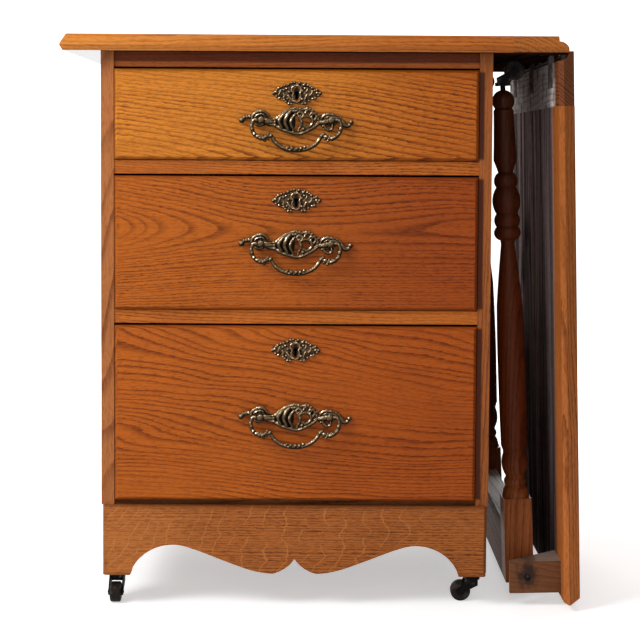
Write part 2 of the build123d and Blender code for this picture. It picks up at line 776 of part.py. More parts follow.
# Drawers
drawer_width = inner_width - 2 * drawer_gap
drawer_left_x = inner_left_x + drawer_gap
drawer_right_x = inner_right_x - drawer_gap
drawer_face_y = case_front_y - drawer_front_proud
drawer_front_back_y = drawer_face_y + drawer_front_thickness
drawer_back_y = inner_back_y - drawer_back_room
box_left_x = drawer_left_x + drawer_board_thickness
box_right_x = drawer_right_x - drawer_board_thickness
face_plane = Plane(origin=(case_middle_x, drawer_face_y, 0), x_dir=(1, 0, 0), z_dir=(0, -1, 0))


def keyhole(z):
    """Outline of a keyhole on the drawers' faces, its round end at the given height."""
    with BuildSketch(face_plane) as outline:
        with Locations((0, z)):
            Circle(keyhole_radius)
            Rectangle(keyhole_slot_width, keyhole_slot_drop, align=(Align.CENTER, Align.MAX))
    return outline.sketch


for drawer_name, front_height in drawer_front_heights.items():
    front_low_z = cell_bottoms[drawer_name] + drawer_gap
    front_high_z = front_low_z + front_height
    keyhole_z = front_high_z - keyhole_drop
    pull_z = (front_low_z + front_high_z) / 2 - pull_drops[drawer_name]
    side_low_z = cell_bottoms[drawer_name] + part_gap
    side_high_z = front_high_z - drawer_side_drop
    bottom_low_z = side_low_z + drawer_bottom_rise
    bottom_high_z = bottom_low_z + drawer_bottom_thickness

    with BuildPart() as drawer_front:
        low = (drawer_left_x, drawer_face_y, front_low_z)
        add(plank(low, (drawer_right_x, drawer_front_back_y, front_high_z)))
        chamfer(drawer_front.faces().sort_by(Axis.Y)[0].edges(), length=drawer_front_bevel)
        extrude(keyhole(keyhole_z), amount=-drawer_front_thickness, mode=Mode.SUBTRACT)
    save(drawer_front, f"{drawer_name}_front")

    with BuildPart() as drawer_sides:
        for side_x in (drawer_left_x, box_right_x):
            low = (side_x, drawer_front_back_y, side_low_z)
            add(plank(low, (side_x + drawer_board_thickness, drawer_back_y, side_high_z)))
    save(drawer_sides, f"{drawer_name}_sides")

    with BuildPart() as drawer_back:
        low = (box_left_x, drawer_back_y - drawer_board_thickness, bottom_high_z)
        add(plank(low, (box_right_x, drawer_back_y, side_high_z)))
    save(drawer_back, f"{drawer_name}_back")

    with BuildPart() as drawer_bottom:
        low = (box_left_x, drawer_front_back_y, bottom_low_z)
        add(plank(low, (box_right_x, drawer_back_y, bottom_high_z)))
    save(drawer_bottom, f"{drawer_name}_bottom")

    with BuildPart() as drawer_lock:
        lock_low_x = case_middle_x - lock_width / 2
        low = (lock_low_x, drawer_front_back_y, keyhole_z - lock_height / 2)
        high = (lock_low_x + lock_width, drawer_front_back_y + lock_depth, keyhole_z + lock_height / 2)
        add(plank(low, high))
        low = (case_middle_x - lock_bolt_width / 2, drawer_front_back_y, high[2])
        bolt_back_y = drawer_front_back_y + lock_bolt_depth
        add(plank(low, (case_middle_x + lock_bolt_width / 2, bolt_back_y, high[2] + lock_bolt_rise)))
        extrude(keyhole(keyhole_z), amount=-drawer_front_thickness - lock_depth / 2, mode=Mode.SUBTRACT)
    save(drawer_lock, f"{drawer_name}_lock")

    with BuildPart() as escutcheon:
        with BuildSketch(face_plane):
            with Locations((0, keyhole_z)):
                Ellipse(escutcheon_width / 2, escutcheon_height / 4)
                Ellipse(escutcheon_width / 4, escutcheon_height / 2)
                RegularPolygon(escutcheon_height / 2, 4, rotation=45)
            add(keyhole(keyhole_z), mode=Mode.SUBTRACT)
        extrude(amount=escutcheon_thickness)
    save(escutcheon, f"{drawer_name}_escutcheon")

    post_places = [(side * post_spread / 2, pull_z) for side in (-1, 1)]
    tip_places = [(side * (pull_tip_spread / 2 - pull_tip_radius), pull_z) for side in (-1, 1)]
    post_reach = bail_standoff + post_radius + post_head
    with BuildPart() as pull_plate:
        with BuildSketch(face_plane):
            with Locations((0, pull_z)):
                Ellipse(pull_plate_width / 2, pull_plate_height / 2)
                Rectangle(pull_tip_spread - 2 * pull_tip_radius, pull_arm_width)
            with Locations(*post_places):
                Circle(pull_boss_radius)
            with Locations(*tip_places):
                Circle(pull_tip_radius)
            for x_share, z_share, width_share, height_share in pull_piercing_shares:
                pierced_z = pull_z + z_share * pull_plate_height / 2
                with Locations((x_share * pull_plate_width / 2, pierced_z)):
                    Ellipse(
                        width_share * pull_plate_width / 2,
                        height_share * pull_plate_height / 2,
                        mode=Mode.SUBTRACT,
                    )
        extrude(amount=pull_plate_thickness)
        with BuildSketch(face_plane):
            with Locations(*post_places):
                Circle(post_radius)
        extrude(amount=post_reach)
        with Locations(*[(case_middle_x + x, drawer_face_y - bail_standoff, z) for x, z in post_places]):
            Cylinder(
                bail_pin_radius + running_gap,
                2 * pull_boss_radius,
                rotation=(0, 90, 0),
                mode=Mode.SUBTRACT,
            )
    save(pull_plate, f"{drawer_name}_pull_plate")

    bail_plane = face_plane.offset(bail_standoff)
    wire_start = post_spread / 2 + post_radius + bail_shoulder
    with BuildPart() as bail:
        with BuildLine(bail_plane) as bail_line:
            FilletPolyline(
                (-wire_start, pull_z),
                (-bail_spread / 2, pull_z),
                (-bail_spread / 2, pull_z - bail_lobe_drop),
                (-bail_waist_spread / 2, pull_z - bail_lobe_drop),
                (-bail_foot_spread / 2, pull_z - bail_drop),
                (bail_foot_spread / 2, pull_z - bail_drop),
                (bail_waist_spread / 2, pull_z - bail_lobe_drop),
                (bail_spread / 2, pull_z - bail_lobe_drop),
                (bail_spread / 2, pull_z),
                (wire_start, pull_z),
                radius=bail_bend_radius,
            )
        with BuildSketch(Plane(origin=bail_line.line @ 0, z_dir=bail_line.line % 0)):
            Circle(bail_wire_radius)
        sweep()
        pin_run = post_radius + bail_shoulder + bail_wire_radius
        pin_middle = wire_start - pin_run / 2
        pin_y = drawer_face_y - bail_standoff
        with Locations(*[(case_middle_x + side * pin_middle, pin_y, pull_z) for side in (-1, 1)]):
            Cylinder(bail_pin_radius, pin_run, rotation=(0, 90, 0))
    save(bail, f"{drawer_name}_bail")

print("height", top_z, "hinge", hinge_x, hinge_z, "pivot", pivot, "leg lean", degrees(leg_lean))
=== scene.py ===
import math

import bmesh
import bpy
from mathutils import Matrix, Vector


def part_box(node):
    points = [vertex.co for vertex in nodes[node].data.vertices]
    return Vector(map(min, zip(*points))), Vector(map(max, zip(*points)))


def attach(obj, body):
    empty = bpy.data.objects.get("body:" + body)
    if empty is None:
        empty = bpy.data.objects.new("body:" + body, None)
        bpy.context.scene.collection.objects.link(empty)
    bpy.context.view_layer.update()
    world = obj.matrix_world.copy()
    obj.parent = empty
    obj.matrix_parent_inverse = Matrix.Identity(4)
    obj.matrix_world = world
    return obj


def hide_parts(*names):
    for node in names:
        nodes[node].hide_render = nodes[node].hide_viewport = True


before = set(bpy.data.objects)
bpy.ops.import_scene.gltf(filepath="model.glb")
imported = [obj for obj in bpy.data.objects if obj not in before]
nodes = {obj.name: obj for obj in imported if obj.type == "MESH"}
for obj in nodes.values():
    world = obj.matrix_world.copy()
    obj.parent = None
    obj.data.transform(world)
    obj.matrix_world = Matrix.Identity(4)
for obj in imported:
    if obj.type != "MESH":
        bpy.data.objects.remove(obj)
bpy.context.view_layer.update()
scene = bpy.context.scene
scene.view_settings.view_transform = "Standard"
print("frame loaded:", len(nodes), "nodes")

drawers = ("top_drawer", "middle_drawer", "bottom_drawer")
casters = ("front_left", "front_right", "rear_left", "rear_right", "front_leg", "rear_leg")


def newNode(tree, kind, **values):
    node = tree.nodes.new(kind)
    for key, value in values.items():
        setattr(node, key, value)
    return node


def link(tree, source, target):
    tree.links.new(source, target)


def mathNode(tree, operation, a, b=None, c=None):
    node = newNode(tree, "ShaderNodeMath", operation=operation)
    for socket, value in zip(node.inputs, (a, b, c)):
        if value is None:
            continue
        if isinstance(value, (int, float)):
            socket.default_value = value
        else:
            link(tree, value, socket)
    return node.outputs[0]


def times(tree, a, b):
    return mathNode(tree, "MULTIPLY", a, b)


def plus(tree, a, b):
    return mathNode(tree, "ADD", a, b)


def minus(tree, a, b):
    return mathNode(tree, "SUBTRACT", a, b)


def oneMinus(tree, a):
    return minus(tree, 1.0, a)


def larger(tree, a, b):
    return mathNode(tree, "MAXIMUM", a, b)


def timesPlus(tree, a, b, c):
    return mathNode(tree, "MULTIPLY_ADD", a, b, c)


def upFrom(tree, mask, least):  # from least where the mask is 0 up to 1
    return timesPlus(tree, mask, 1.0 - least, least)


def centred(tree, noise, size):  # noise about zero, in metres or shares
    return times(tree, minus(tree, noise, 0.5), size)


def lengthOf(tree, a, b):
    return mathNode(tree, "SQRT", plus(tree, times(tree, a, a), times(tree, b, b)))


def mixColor(tree, factor, a, b, blend="MIX"):
    node = newNode(tree, "ShaderNodeMix", data_type="RGBA", blend_type=blend)
    for name, value in (("Factor_Float", factor), ("A_Color", a), ("B_Color", b)):
        socket = next(s for s in node.inputs if s.identifier == name)
        if isinstance(value, (int, float)):
            socket.default_value = value
        elif isinstance(value, (tuple, list)):
            socket.default_value = (*value[:3], 1)
        else:
            link(tree, value, socket)
    return next(s for s in node.outputs if s.identifier == "Result_Color")


def ramp(tree, source, low, high):
    node = newNode(tree, "ShaderNodeMapRange", interpolation_type="SMOOTHSTEP")
    link(tree, source, node.inputs["Value"])
    node.inputs["From Min"].default_value = low
    node.inputs["From Max"].default_value = high
    return node.outputs["Result"]


def noiseAt(tree, vector, scale, detail=2.0, rough=0.5):
    stretch = newNode(tree, "ShaderNodeVectorMath", operation="MULTIPLY")
    link(tree, vector, stretch.inputs[0])
    stretch.inputs[1].default_value = scale
    node = newNode(tree, "ShaderNodeTexNoise")
    link(tree, stretch.outputs[0], node.inputs["Vector"])
    node.inputs["Scale"].default_value = 1.0
    node.inputs["Detail"].default_value = detail
    node.inputs["Roughness"].default_value = rough
    return node.outputs["Fac"]


def splitOf(tree, vector):
    node = newNode(tree, "ShaderNodeSeparateXYZ")
    link(tree, vector, node.inputs[0])
    return node.outputs


def newGroup(name, inputs, outputs):
    group = bpy.data.node_groups.new(name, "ShaderNodeTree")
    for label, kind, value in inputs:
        socket = group.interface.new_socket(label, in_out="INPUT", socket_type="NodeSocket" + kind)
        if value is not None:
            socket.default_value = (*value, 1) if kind == "Color" else value
    for label, kind in outputs:
        group.interface.new_socket(label, in_out="OUTPUT", socket_type="NodeSocket" + kind)
    return group, newNode(group, "NodeGroupInput"), newNode(group, "NodeGroupOutput")


# noise is counted per metre, along the grain (X) and across it
oakGrain = {
    "wave": (2.4, 8.0, 8.0), "ripple": (16.0, 80.0, 80.0), "rippleSize": 0.0045,
    "ragged": (85.0, 480.0, 480.0), "raggedSize": 0.0036, "reachSoft": 0.12,
    "years": (0.31, 1, 1), "yearSpread": 2.4, "earlyStart": (0.0, 0.07), "earlyEnd": (0.09, 0.50),
    "faint": (3.0, 15.0, 15.0), "faintRange": (0.32, 0.62), "faintLeast": 0.35,
    "dash": (95.0, 700.0, 700.0), "dashRange": (0.44, 0.53), "dashLeast": 0.4,
    "loose": (110.0, 900.0, 900.0), "looseRange": (0.54, 0.62), "looseDepth": 0.42,
    "streak": (9.0, 300.0, 300.0), "streakShade": 1.1, "streakHeight": 0.3,
    "cloud": (1.7, 7.0, 7.0), "cloudShade": 0.7, "cloudRough": 0.12, "shadeShift": -0.55, "poreRough": 0.25,
}


# oak figure: growth rings round a pith line, dashes of open pores in the early wood, streaks along the grain
def buildOakFigure(grain):
    group, given, out = newGroup(
        "oakFigure",
        [
            ("Vector", "Vector", None),
            ("Pith", "Vector", (0.0, 0.3, 0.1)),
            ("Tilt", "Float", 0.25),
            ("Reach", "Float", 9.0),
            ("Ring Size", "Float", 0.006),
            ("Waviness", "Float", 0.012),
            ("Light", "Color", (0.6, 0.3, 0.1)),
            ("Dark", "Color", (0.4, 0.15, 0.04)),
            ("Pore", "Color", (0.15, 0.05, 0.015)),
            ("Figure", "Float", 0.8),
            ("Pores", "Float", 0.7),
        ],
        [("Color", "Color"), ("Height", "Float"), ("Rough", "Float")],
    )
    given = given.outputs
    vector = given["Vector"]
    place = splitOf(group, vector)
    pith = splitOf(group, given["Pith"])
    wave = centred(group, noiseAt(group, vector, grain["wave"], 2.0), given["Waviness"])
    ripple = centred(group, noiseAt(group, vector, grain["ripple"], 3.0, 0.6), grain["rippleSize"])
    ragged = centred(group, noiseAt(group, vector, grain["ragged"], 2.0, 0.6), grain["raggedSize"])
    across = plus(group, minus(group, place["Z"], pith["Z"]), plus(group, ragged, plus(group, wave, ripple)))
    run = minus(group, place["X"], pith["X"])
    run = mathNode(group, "SMOOTH_MIN", run, given["Reach"], grain["reachSoft"])
    run = times(group, run, given["Tilt"])
    deep = plus(group, run, plus(group, minus(group, place["Y"], pith["Y"]), wave))
    count = mathNode(group, "DIVIDE", lengthOf(group, across, deep), given["Ring Size"])
    years = newNode(group, "ShaderNodeCombineXYZ")  # some years grew wider rings than others
    link(group, count, years.inputs["X"])
    uneven = times(group, noiseAt(group, years.outputs[0], grain["years"], 1.0), grain["yearSpread"])
    ring = mathNode(group, "FRACT", plus(group, count, uneven))
    late = ramp(group, ring, *grain["earlyEnd"])
    early = times(group, ramp(group, ring, *grain["earlyStart"]), oneMinus(group, late))
    faint = ramp(group, noiseAt(group, vector, grain["faint"], 2.0), *grain["faintRange"])
    early = times(group, early, upFrom(group, faint, grain["faintLeast"]))  # rings fade out in places
    dashes = ramp(group, noiseAt(group, vector, grain["dash"], 2.0, 0.6), *grain["dashRange"])
    loose = ramp(group, noiseAt(group, vector, grain["loose"], 1.0), *grain["looseRange"])
    lines = times(group, early, upFrom(group, dashes, grain["dashLeast"]))
    pores = larger(group, lines, times(group, loose, grain["looseDepth"]))
    pores = times(group, pores, given["Pores"])
    streak = noiseAt(group, vector, grain["streak"], 3.0, 0.65)
    cloud = noiseAt(group, vector, grain["cloud"], 3.0)
    shade = timesPlus(group, early, given["Figure"], grain["shadeShift"])
    shade = timesPlus(group, streak, grain["streakShade"], shade)
    shade = ramp(group, timesPlus(group, cloud, grain["cloudShade"], shade), 0.0, 1.0)
    plain = mixColor(group, shade, given["Light"], given["Dark"])
    link(group, mixColor(group, pores, plain, given["Pore"]), out.inputs["Color"])
    link(group, minus(group, times(group, streak, grain["streakHeight"]), pores), out.inputs["Height"])
    rough = plus(group, times(group, pores, grain["poreRough"]), times(group, cloud, grain["cloudRough"]))
    link(group, rough, out.inputs["Rough"])
    return group


fleckLines = {"bend": (9, 9, 34), "bendSize": 0.055, "leanFrom": -0.10, "leanMore": 6.0, "perMetre": 38.0,
              "line": (0.012, 0.060), "patch": (30.0, 9.0, 26.0), "patchRange": (0.33, 0.54)}


# ray flecks: thin pale lines that cross the grain of quarter-sawn boards and lean more at the left
def buildRayFleck(flecks):
    group, given, out = newGroup(
        "rayFleck", [("Vector", "Vector", None), ("Slant", "Float", 0.35), ("Amount", "Float", 0.5)],
        [("Mask", "Float")])
    vector = given.outputs["Vector"]
    place = splitOf(group, vector)
    bend = centred(group, noiseAt(group, vector, flecks["bend"], 2.0), flecks["bendSize"])
    left = larger(group, minus(group, flecks["leanFrom"], place["X"]), 0.0)
    slant = timesPlus(group, left, flecks["leanMore"], given.outputs["Slant"])
    lean = times(group, place["Z"], slant)
    along = times(group, minus(group, plus(group, place["X"], bend), lean), flecks["perMetre"])
    off = mathNode(group, "ABSOLUTE", minus(group, mathNode(group, "FRACT", along), 0.5))
    lines = oneMinus(group, ramp(group, off, *flecks["line"]))
    patches = noiseAt(group, vector, flecks["patch"], 2.0)
    mask = times(group, lines, ramp(group, patches, *flecks["patchRange"]))
    link(group, times(group, mask, given.outputs["Amount"]), out.inputs["Mask"])
    return group


stainMarks = {"detail": 5.0, "rough": 0.6, "range": (0.48, 0.72)}


# grime: soft dark stains
def buildGrime(marks):
    group, given, out = newGroup(
        "grime", [("Vector", "Vector", None), ("Scale", "Float", 20.0), ("Amount", "Float", 0.4)],
        [("Stain", "Float")])
    sized = newNode(group, "ShaderNodeVectorMath", operation="SCALE")
    link(group, given.outputs["Vector"], sized.inputs[0])
    link(group, given.outputs["Scale"], sized.inputs["Scale"])
    clouds = noiseAt(group, sized.outputs[0], (1, 1, 1), marks["detail"], marks["rough"])
    stain = ramp(group, clouds, *marks["range"])
    link(group, times(group, stain, given.outputs["Amount"]), out.inputs["Stain"])
    return group


edgeDirtAndShade = {"noise": (45, 45, 45), "spread": 2.0, "range": (0.1, 1.0), "dark": 0.55}


# dirt and painted shade along the outline of a board that faces the front, between the corners Low and High
def buildEdgeShade(dirtAndShade):
    group, given, out = newGroup(
        "edgeShade", [("Vector", "Vector", None), ("Low", "Vector", (0, 0, 0)), ("High", "Vector", (1, 1, 1)),
                      ("Reach", "Float", 0.006)], [("Mask", "Float")])
    parts = {label: splitOf(group, given.outputs[label]) for label in ("Vector", "Low", "High")}
    near = 1.0
    for axis in ("X", "Z"):
        for far, close in (("Vector", "Low"), ("High", "Vector")):
            near = mathNode(group, "MINIMUM", minus(group, parts[far][axis], parts[close][axis]), near)
    worn = noiseAt(group, given.outputs["Vector"], dirtAndShade["noise"], 4.0, 0.6)
    reach = times(group, given.outputs["Reach"], times(group, worn, dirtAndShade["spread"]))
    share = mathNode(group, "DIVIDE", near, reach)
    link(group, oneMinus(group, ramp(group, share, *dirtAndShade["range"])), out.inputs["Mask"])
    return group


oakFigure = buildOakFigure(oakGrain)
rayFleck = buildRayFleck(fleckLines)
grime = buildGrime(stainMarks)
edgeShade = buildEdgeShade(edgeDirtAndShade)
print("shared effects built")


def newMaterial(name):
    material = bpy.data.materials.new(name)
    material.use_nodes = True
    tree = material.node_tree
    return material, tree, tree.nodes["Principled BSDF"]


def facing(tree, coords, side, low=0.75, high=0.95):
    turned = newNode(tree, "ShaderNodeVectorMath", operation="DOT_PRODUCT")
    link(tree, coords.outputs["Normal"], turned.inputs[0])
    turned.inputs[1].default_value = side
    return ramp(tree, turned.outputs["Value"], low, high)


def grainVector(tree, axis):
    coords = newNode(tree, "ShaderNodeTexCoord")
    if axis == "x":
        return coords.outputs["Object"], coords
    place = splitOf(tree, coords.outputs["Object"])
    join = newNode(tree, "ShaderNodeCombineXYZ")
    order = {"y": ("Y", "X", "Z"), "z": ("Z", "Y", "X"), "round": ("Y", "X", "Z")}[axis]
    for source, target in zip(order, ("X", "Y", "Z")):
        link(tree, place[source], join.inputs[target])
    if axis == "round":  # boards round a frame: along Y on its left and right sides, along X on the others
        sides = larger(tree, facing(tree, coords, (1, 0, 0)), facing(tree, coords, (-1, 0, 0)))
        turn = newNode(tree, "ShaderNodeMix", data_type="VECTOR")
        link(tree, mathNode(tree, "GREATER_THAN", sides, 0.5), turn.inputs["Factor"])
        ends = [s for s in turn.inputs if s.type == "VECTOR" and s.name in "AB"]
        link(tree, coords.outputs["Object"], ends[0])
        link(tree, join.outputs[0], ends[1])
        return next(s for s in turn.outputs if s.type == "VECTOR"), coords
    return join.outputs[0], coords


def placeGroup(tree, group, vector, **values):
    node = newNode(tree, "ShaderNodeGroup", node_tree=group)
    link(tree, vector, node.inputs["Vector"])
    for label, value in values.items():
        socket = node.inputs[label.replace("_", " ")]
        socket.default_value = (*value, 1) if socket.type == "RGBA" else value
    return node


def bumpFrom(tree, height, shader, strength, distance=0.0004):
    bump = newNode(tree, "ShaderNodeBump")
    bump.inputs["Strength"].default_value = strength
    bump.inputs["Distance"].default_value = distance
    link(tree, height, bump.inputs["Height"])
    link(tree, bump.outputs[0], shader.inputs["Normal"])


bareWear = {"rings": 1.3, "streak": (1.3, 30.0, 30.0), "streakRange": (0.40, 0.60), "joint": (0.0006, 0.0022),
            "margin": (30, 30, 5), "marginSize": 0.012, "marginSoft": 0.032}


# bare face of a board: weathered underside or dusty top, whose pale colours on the leaf, the strip and the
# stretcher are partly painted light
def bareFace(tree, vector, coords, look, color):
    bare = look["bare"]
    here = coords.outputs["Object"]
    place = splitOf(tree, here)
    wood = placeGroup(
        tree, oakFigure, vector, Pith=look["pith"], Tilt=look["tilt"], Waviness=look["wavy"],
        Ring_Size=look["ring"] * bareWear["rings"], Light=bare["light"], Dark=bare["dark"], Pore=bare["pore"],
        Figure=bare.get("figure", 0.9), Pores=bare.get("pores", 0.8))
    flakes = placeGroup(tree, grime, here, Scale=bare["flakeScale"], Amount=bare["flakes"])
    worn = mixColor(tree, flakes.outputs["Stain"], wood.outputs["Color"], bare["flakeColor"])
    if "streaks" in bare:  # dry dark streaks along the grain
        streak = ramp(tree, noiseAt(tree, vector, bareWear["streak"], 4.0, 0.65), *bareWear["streakRange"])
        worn = mixColor(tree, times(tree, streak, bare["streaks"]), worn, bare["pore"])
    if "fade" in bare:  # darker towards the floor
        low, high, gain = bare["fade"]
        darker = mixColor(tree, 1.0, worn, gain, "MULTIPLY")
        worn = mixColor(tree, ramp(tree, place["Z"], low, high), darker, worn)
    mask = facing(tree, coords, bare["side"])
    shine = bare.get("sheen", 0.0)
    sheen = timesPlus(tree, mask, -shine, shine)  # only the finished faces are polished
    if "polishX" in bare:  # the open end of the underside is polished too
        sheen = timesPlus(tree, mask, oneMinus(tree, ramp(tree, place["X"], *bare["polishX"])), sheen)
    if "jointY" in bare:  # glue joint between two boards
        off = mathNode(tree, "ABSOLUTE", minus(tree, place["Y"], bare["jointY"]))
        worn = mixColor(tree, ramp(tree, off, *bareWear["joint"]), bare["pore"], worn)
    if "marginY" in bare:  # finish that runs round the edge onto the bare face
        uneven = noiseAt(tree, here, bareWear["margin"], 3.0)
        edge = timesPlus(tree, uneven, bareWear["marginSize"], place["Y"])
        inner = bare["marginY"] + bareWear["marginSoft"]
        mask = times(tree, mask, ramp(tree, edge, bare["marginY"], inner))
    return mixColor(tree, mask, color, worn), sheen


spotNoise = (150, 150, 150)


# dark spot round a point of the front plane: painted shade for a keyhole, and rust for a pin
def rustAndShadeSpot(tree, coords, spot, color):
    here = coords.outputs["Object"]
    place = splitOf(tree, here)
    sideways, upward = [mathNode(tree, "DIVIDE", minus(tree, place[axis], centre), half)
                        for axis, centre, half in zip("XZ", spot["centre"], spot["half"])]
    ragged = centred(tree, noiseAt(tree, here, spotNoise, 4.0, 0.6), spot["ragged"])
    distance = plus(tree, lengthOf(tree, sideways, upward), ragged)
    return mixColor(tree, ramp(tree, distance, spot["soft"], 1.0), spot["color"], color)


# painted shadow on the front of a side board, beside the drawers: a dark band where the proud drawer fronts
# would cast shade
def paintDrawerShadow(tree, coords, shade, color):
    place = splitOf(tree, coords.outputs["Object"])
    near = oneMinus(tree, ramp(tree, place["X"], *shade["fromTo"]))
    level = 0.0
    for low, high in shade["spans"]:
        above = ramp(tree, place["Z"], low, low + shade["soft"])
        below = oneMinus(tree, ramp(tree, place["Z"], high - shade["soft"], high))
        level = larger(tree, times(tree, above, below), level)
    mask = times(tree, times(tree, near, level), facing(tree, coords, (0, -1, 0)))
    return mixColor(tree, mask, color, shade["color"])


# one oak finish: colours, grain direction, where the rings' pith lies, and the marks on the board
def oakMaterial(name, look):
    material, tree, shader = newMaterial(name)
    vector, coords = grainVector(tree, look["axis"])
    here = coords.outputs["Object"]
    figure = placeGroup(
        tree, oakFigure, vector, Pith=look["pith"], Tilt=look["tilt"], Waviness=look["wavy"],
        Ring_Size=look["ring"], Reach=look.get("reach", 9.0), Light=look["light"], Dark=look["dark"],
        Pore=look["pore"], Figure=look.get("figure", 0.6), Pores=look.get("pores", 0.8))
    color = figure.outputs["Color"]
    if "fleck" in look:
        fleck = placeGroup(tree, rayFleck, vector, Amount=look["fleck"], Slant=look["slant"])
        few = oneMinus(tree, ramp(tree, splitOf(tree, vector)["X"], *look["fleckEnd"]))
        color = mixColor(tree, times(tree, fleck.outputs["Mask"], few), color, look["fleckColor"])
    dirt = placeGroup(tree, grime, here, Scale=look.get("dirtScale", 9.0), Amount=look.get("dirt", 0.25))
    color = mixColor(tree, dirt.outputs["Stain"], color, look["pore"])
    # dirt and painted shade darken the rim of the board
    if "rim" in look:
        low, high = look["box"]
        rim = placeGroup(tree, edgeShade, here, Low=low, High=high, Reach=look["rim"])
        color = mixColor(tree, times(tree, rim.outputs["Mask"], edgeDirtAndShade["dark"]), color, look["pore"])
    place = splitOf(tree, here)
    for axis, start, end, gain in look.get("tints", ()):  # a darker stretch of the board along an axis
        darker = mixColor(tree, 1.0, color, gain, "MULTIPLY")
        color = mixColor(tree, ramp(tree, place[axis], start, end), color, darker)
    if "bare" in look:
        color, sheen = bareFace(tree, vector, coords, look, color)
        if "sheen" in look["bare"]:
            link(tree, sheen, shader.inputs["Coat Weight"])
            shader.inputs["Coat Roughness"].default_value = look.get("coatRough", 0.32)
    # painted shadow beside the drawer fronts
    if "drawerShadow" in look:
        color = paintDrawerShadow(tree, coords, look["drawerShadow"], color)
    # a dark spot: painted shade for a keyhole, rust for a pin
    if "spot" in look:
        color = rustAndShadeSpot(tree, coords, look["spot"], color)
    link(tree, color, shader.inputs["Base Color"])
    link(tree, plus(tree, figure.outputs["Rough"], look.get("rough", 0.36)), shader.inputs["Roughness"])
    shader.inputs["Specular IOR Level"].default_value = look.get("specular", 0.16)
    bumpFrom(tree, figure.outputs["Height"], shader, look.get("bump", 0.4))
    return material


def dress(material, *names):
    for name in names:
        mesh = nodes[name].data
        mesh.materials.clear()
        mesh.materials.append(material)


sharpAngle = 40  # edges that turn by more are eased


def softenEdges(width, *names):
    for name in names:
        modifier = nodes[name].modifiers.new("eased", "BEVEL")
        modifier.width = width
        modifier.segments = 2
        modifier.limit_method = "ANGLE"
        modifier.angle_limit = math.radians(sharpAngle)


easedEdges = {"drawer": 0.0012, "case": 0.001, "leaf": 0.002, "rough": 0.0012}

drawerLooks = {
    "top_drawer": {"axis": "x", "pith": (-1.0, -0.231, 0.50), "tilt": 0.16, "ring": 0.0046, "wavy": 0.02,
                   "light": (0.69, 0.234, 0.024), "dark": (0.43, 0.122, 0.009), "pore": (0.14, 0.029, 0.003),
                   "figure": 0.6, "pores": 0.9, "dirt": 0.10,
                   "tints": [("X", -0.06, 0.20, (0.78, 0.58, 0.40))]},
    "middle_drawer": {"axis": "x", "pith": (-0.477, -0.231, 0.507), "tilt": 0.15, "reach": 0.34,
                      "ring": 0.0034, "wavy": 0.026, "light": (0.52, 0.128, 0.010),
                      "dark": (0.33, 0.072, 0.005), "pore": (0.12, 0.022, 0.002),
                      "figure": 0.4, "pores": 0.85, "dirt": 0.12,
                      "tints": [("X", -0.16, 0.18, (0.69, 0.52, 0.40))]},
    "bottom_drawer": {"axis": "x", "pith": (0.50, -0.231, 0.394), "tilt": 0.16, "ring": 0.0056, "wavy": 0.05,
                      "light": (0.52, 0.122, 0.009), "dark": (0.335, 0.068, 0.004),
                      "pore": (0.12, 0.022, 0.002), "figure": 0.5, "pores": 0.82, "dirt": 0.12,
                      "tints": [("X", -0.15, 0.14, (0.86, 0.74, 0.56))]},
}
drawerRim = 0.0045
# painted shade: a near-black spot on the drawer front where the keyhole opens
keyholeShade = {"drop": 0.0008, "half": (0.0040, 0.0095), "soft": 0.85, "ragged": 0.0,
               "color": (0.004, 0.003, 0.002)}
for drawer in drawers:
    shieldLow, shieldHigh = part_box(drawer + "_escutcheon")
    keyholeX = (shieldLow.x + shieldHigh.x) / 2
    keyholeZ = (shieldLow.z + shieldHigh.z) / 2 - keyholeShade["drop"]
    look = drawerLooks[drawer] | {"spot": keyholeShade | {"centre": (keyholeX, keyholeZ)},
                                  "rim": drawerRim, "box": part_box(drawer + "_front")}
    dress(oakMaterial(drawer + "Oak", look), drawer + "_front")
    softenEdges(easedEdges["drawer"], drawer + "_front")

caseLooks = {
    "sideOak": {"axis": "z", "pith": (0.4, 0.2, -0.35), "tilt": 0.05, "ring": 0.0042, "wavy": 0.02,
                "light": (0.46, 0.158, 0.046), "dark": (0.33, 0.104, 0.028), "pore": (0.14, 0.036, 0.009),
                "dirt": 0.2},
    "railOak": {"axis": "x", "pith": (0.1, -0.3, 0.3), "tilt": 0.05, "ring": 0.0036, "wavy": 0.02,
                "light": (0.58, 0.156, 0.018), "dark": (0.40, 0.098, 0.010), "pore": (0.13, 0.026, 0.004),
                "dirt": 0.2},
    "topRailOak": {"axis": "x", "pith": (0.1, -0.3, 0.9), "tilt": 0.05, "ring": 0.0036, "wavy": 0.02,
                   "light": (0.62, 0.160, 0.026), "dark": (0.44, 0.104, 0.015), "pore": (0.15, 0.030, 0.005),
                   "dirt": 0.2},
    "topOak": {"axis": "x", "pith": (-0.1, -0.2, 0.62), "tilt": 0.05, "ring": 0.0045, "wavy": 0.03,
               "light": (0.66, 0.236, 0.044), "dark": (0.50, 0.160, 0.025), "pore": (0.22, 0.056, 0.008),
               "tints": [("X", -0.30, 0.22, (0.79, 0.64, 0.54))],
               "figure": 0.5, "pores": 0.7, "specular": 0.0, "coatRough": 0.14, "dirt": 0.16},
    "endStripOak": {"axis": "y", "pith": (0.1, 0.22, 0.65), "tilt": 0.05, "ring": 0.005, "wavy": 0.02,
                    "light": (0.50, 0.160, 0.032), "dark": (0.37, 0.108, 0.019), "pore": (0.16, 0.040, 0.007),
                    "specular": 0.0, "dirt": 0.2},
}
darkUnder = {"side": (0, 0, -1), "sheen": 0.2, "light": (0.050, 0.020, 0.012), "dark": (0.022, 0.009, 0.006),
             "pore": (0.006, 0.003, 0.002), "flakeScale": 20.0, "flakes": 0.4,
             "flakeColor": (0.010, 0.006, 0.005), "polishX": (-0.22, -0.16)}
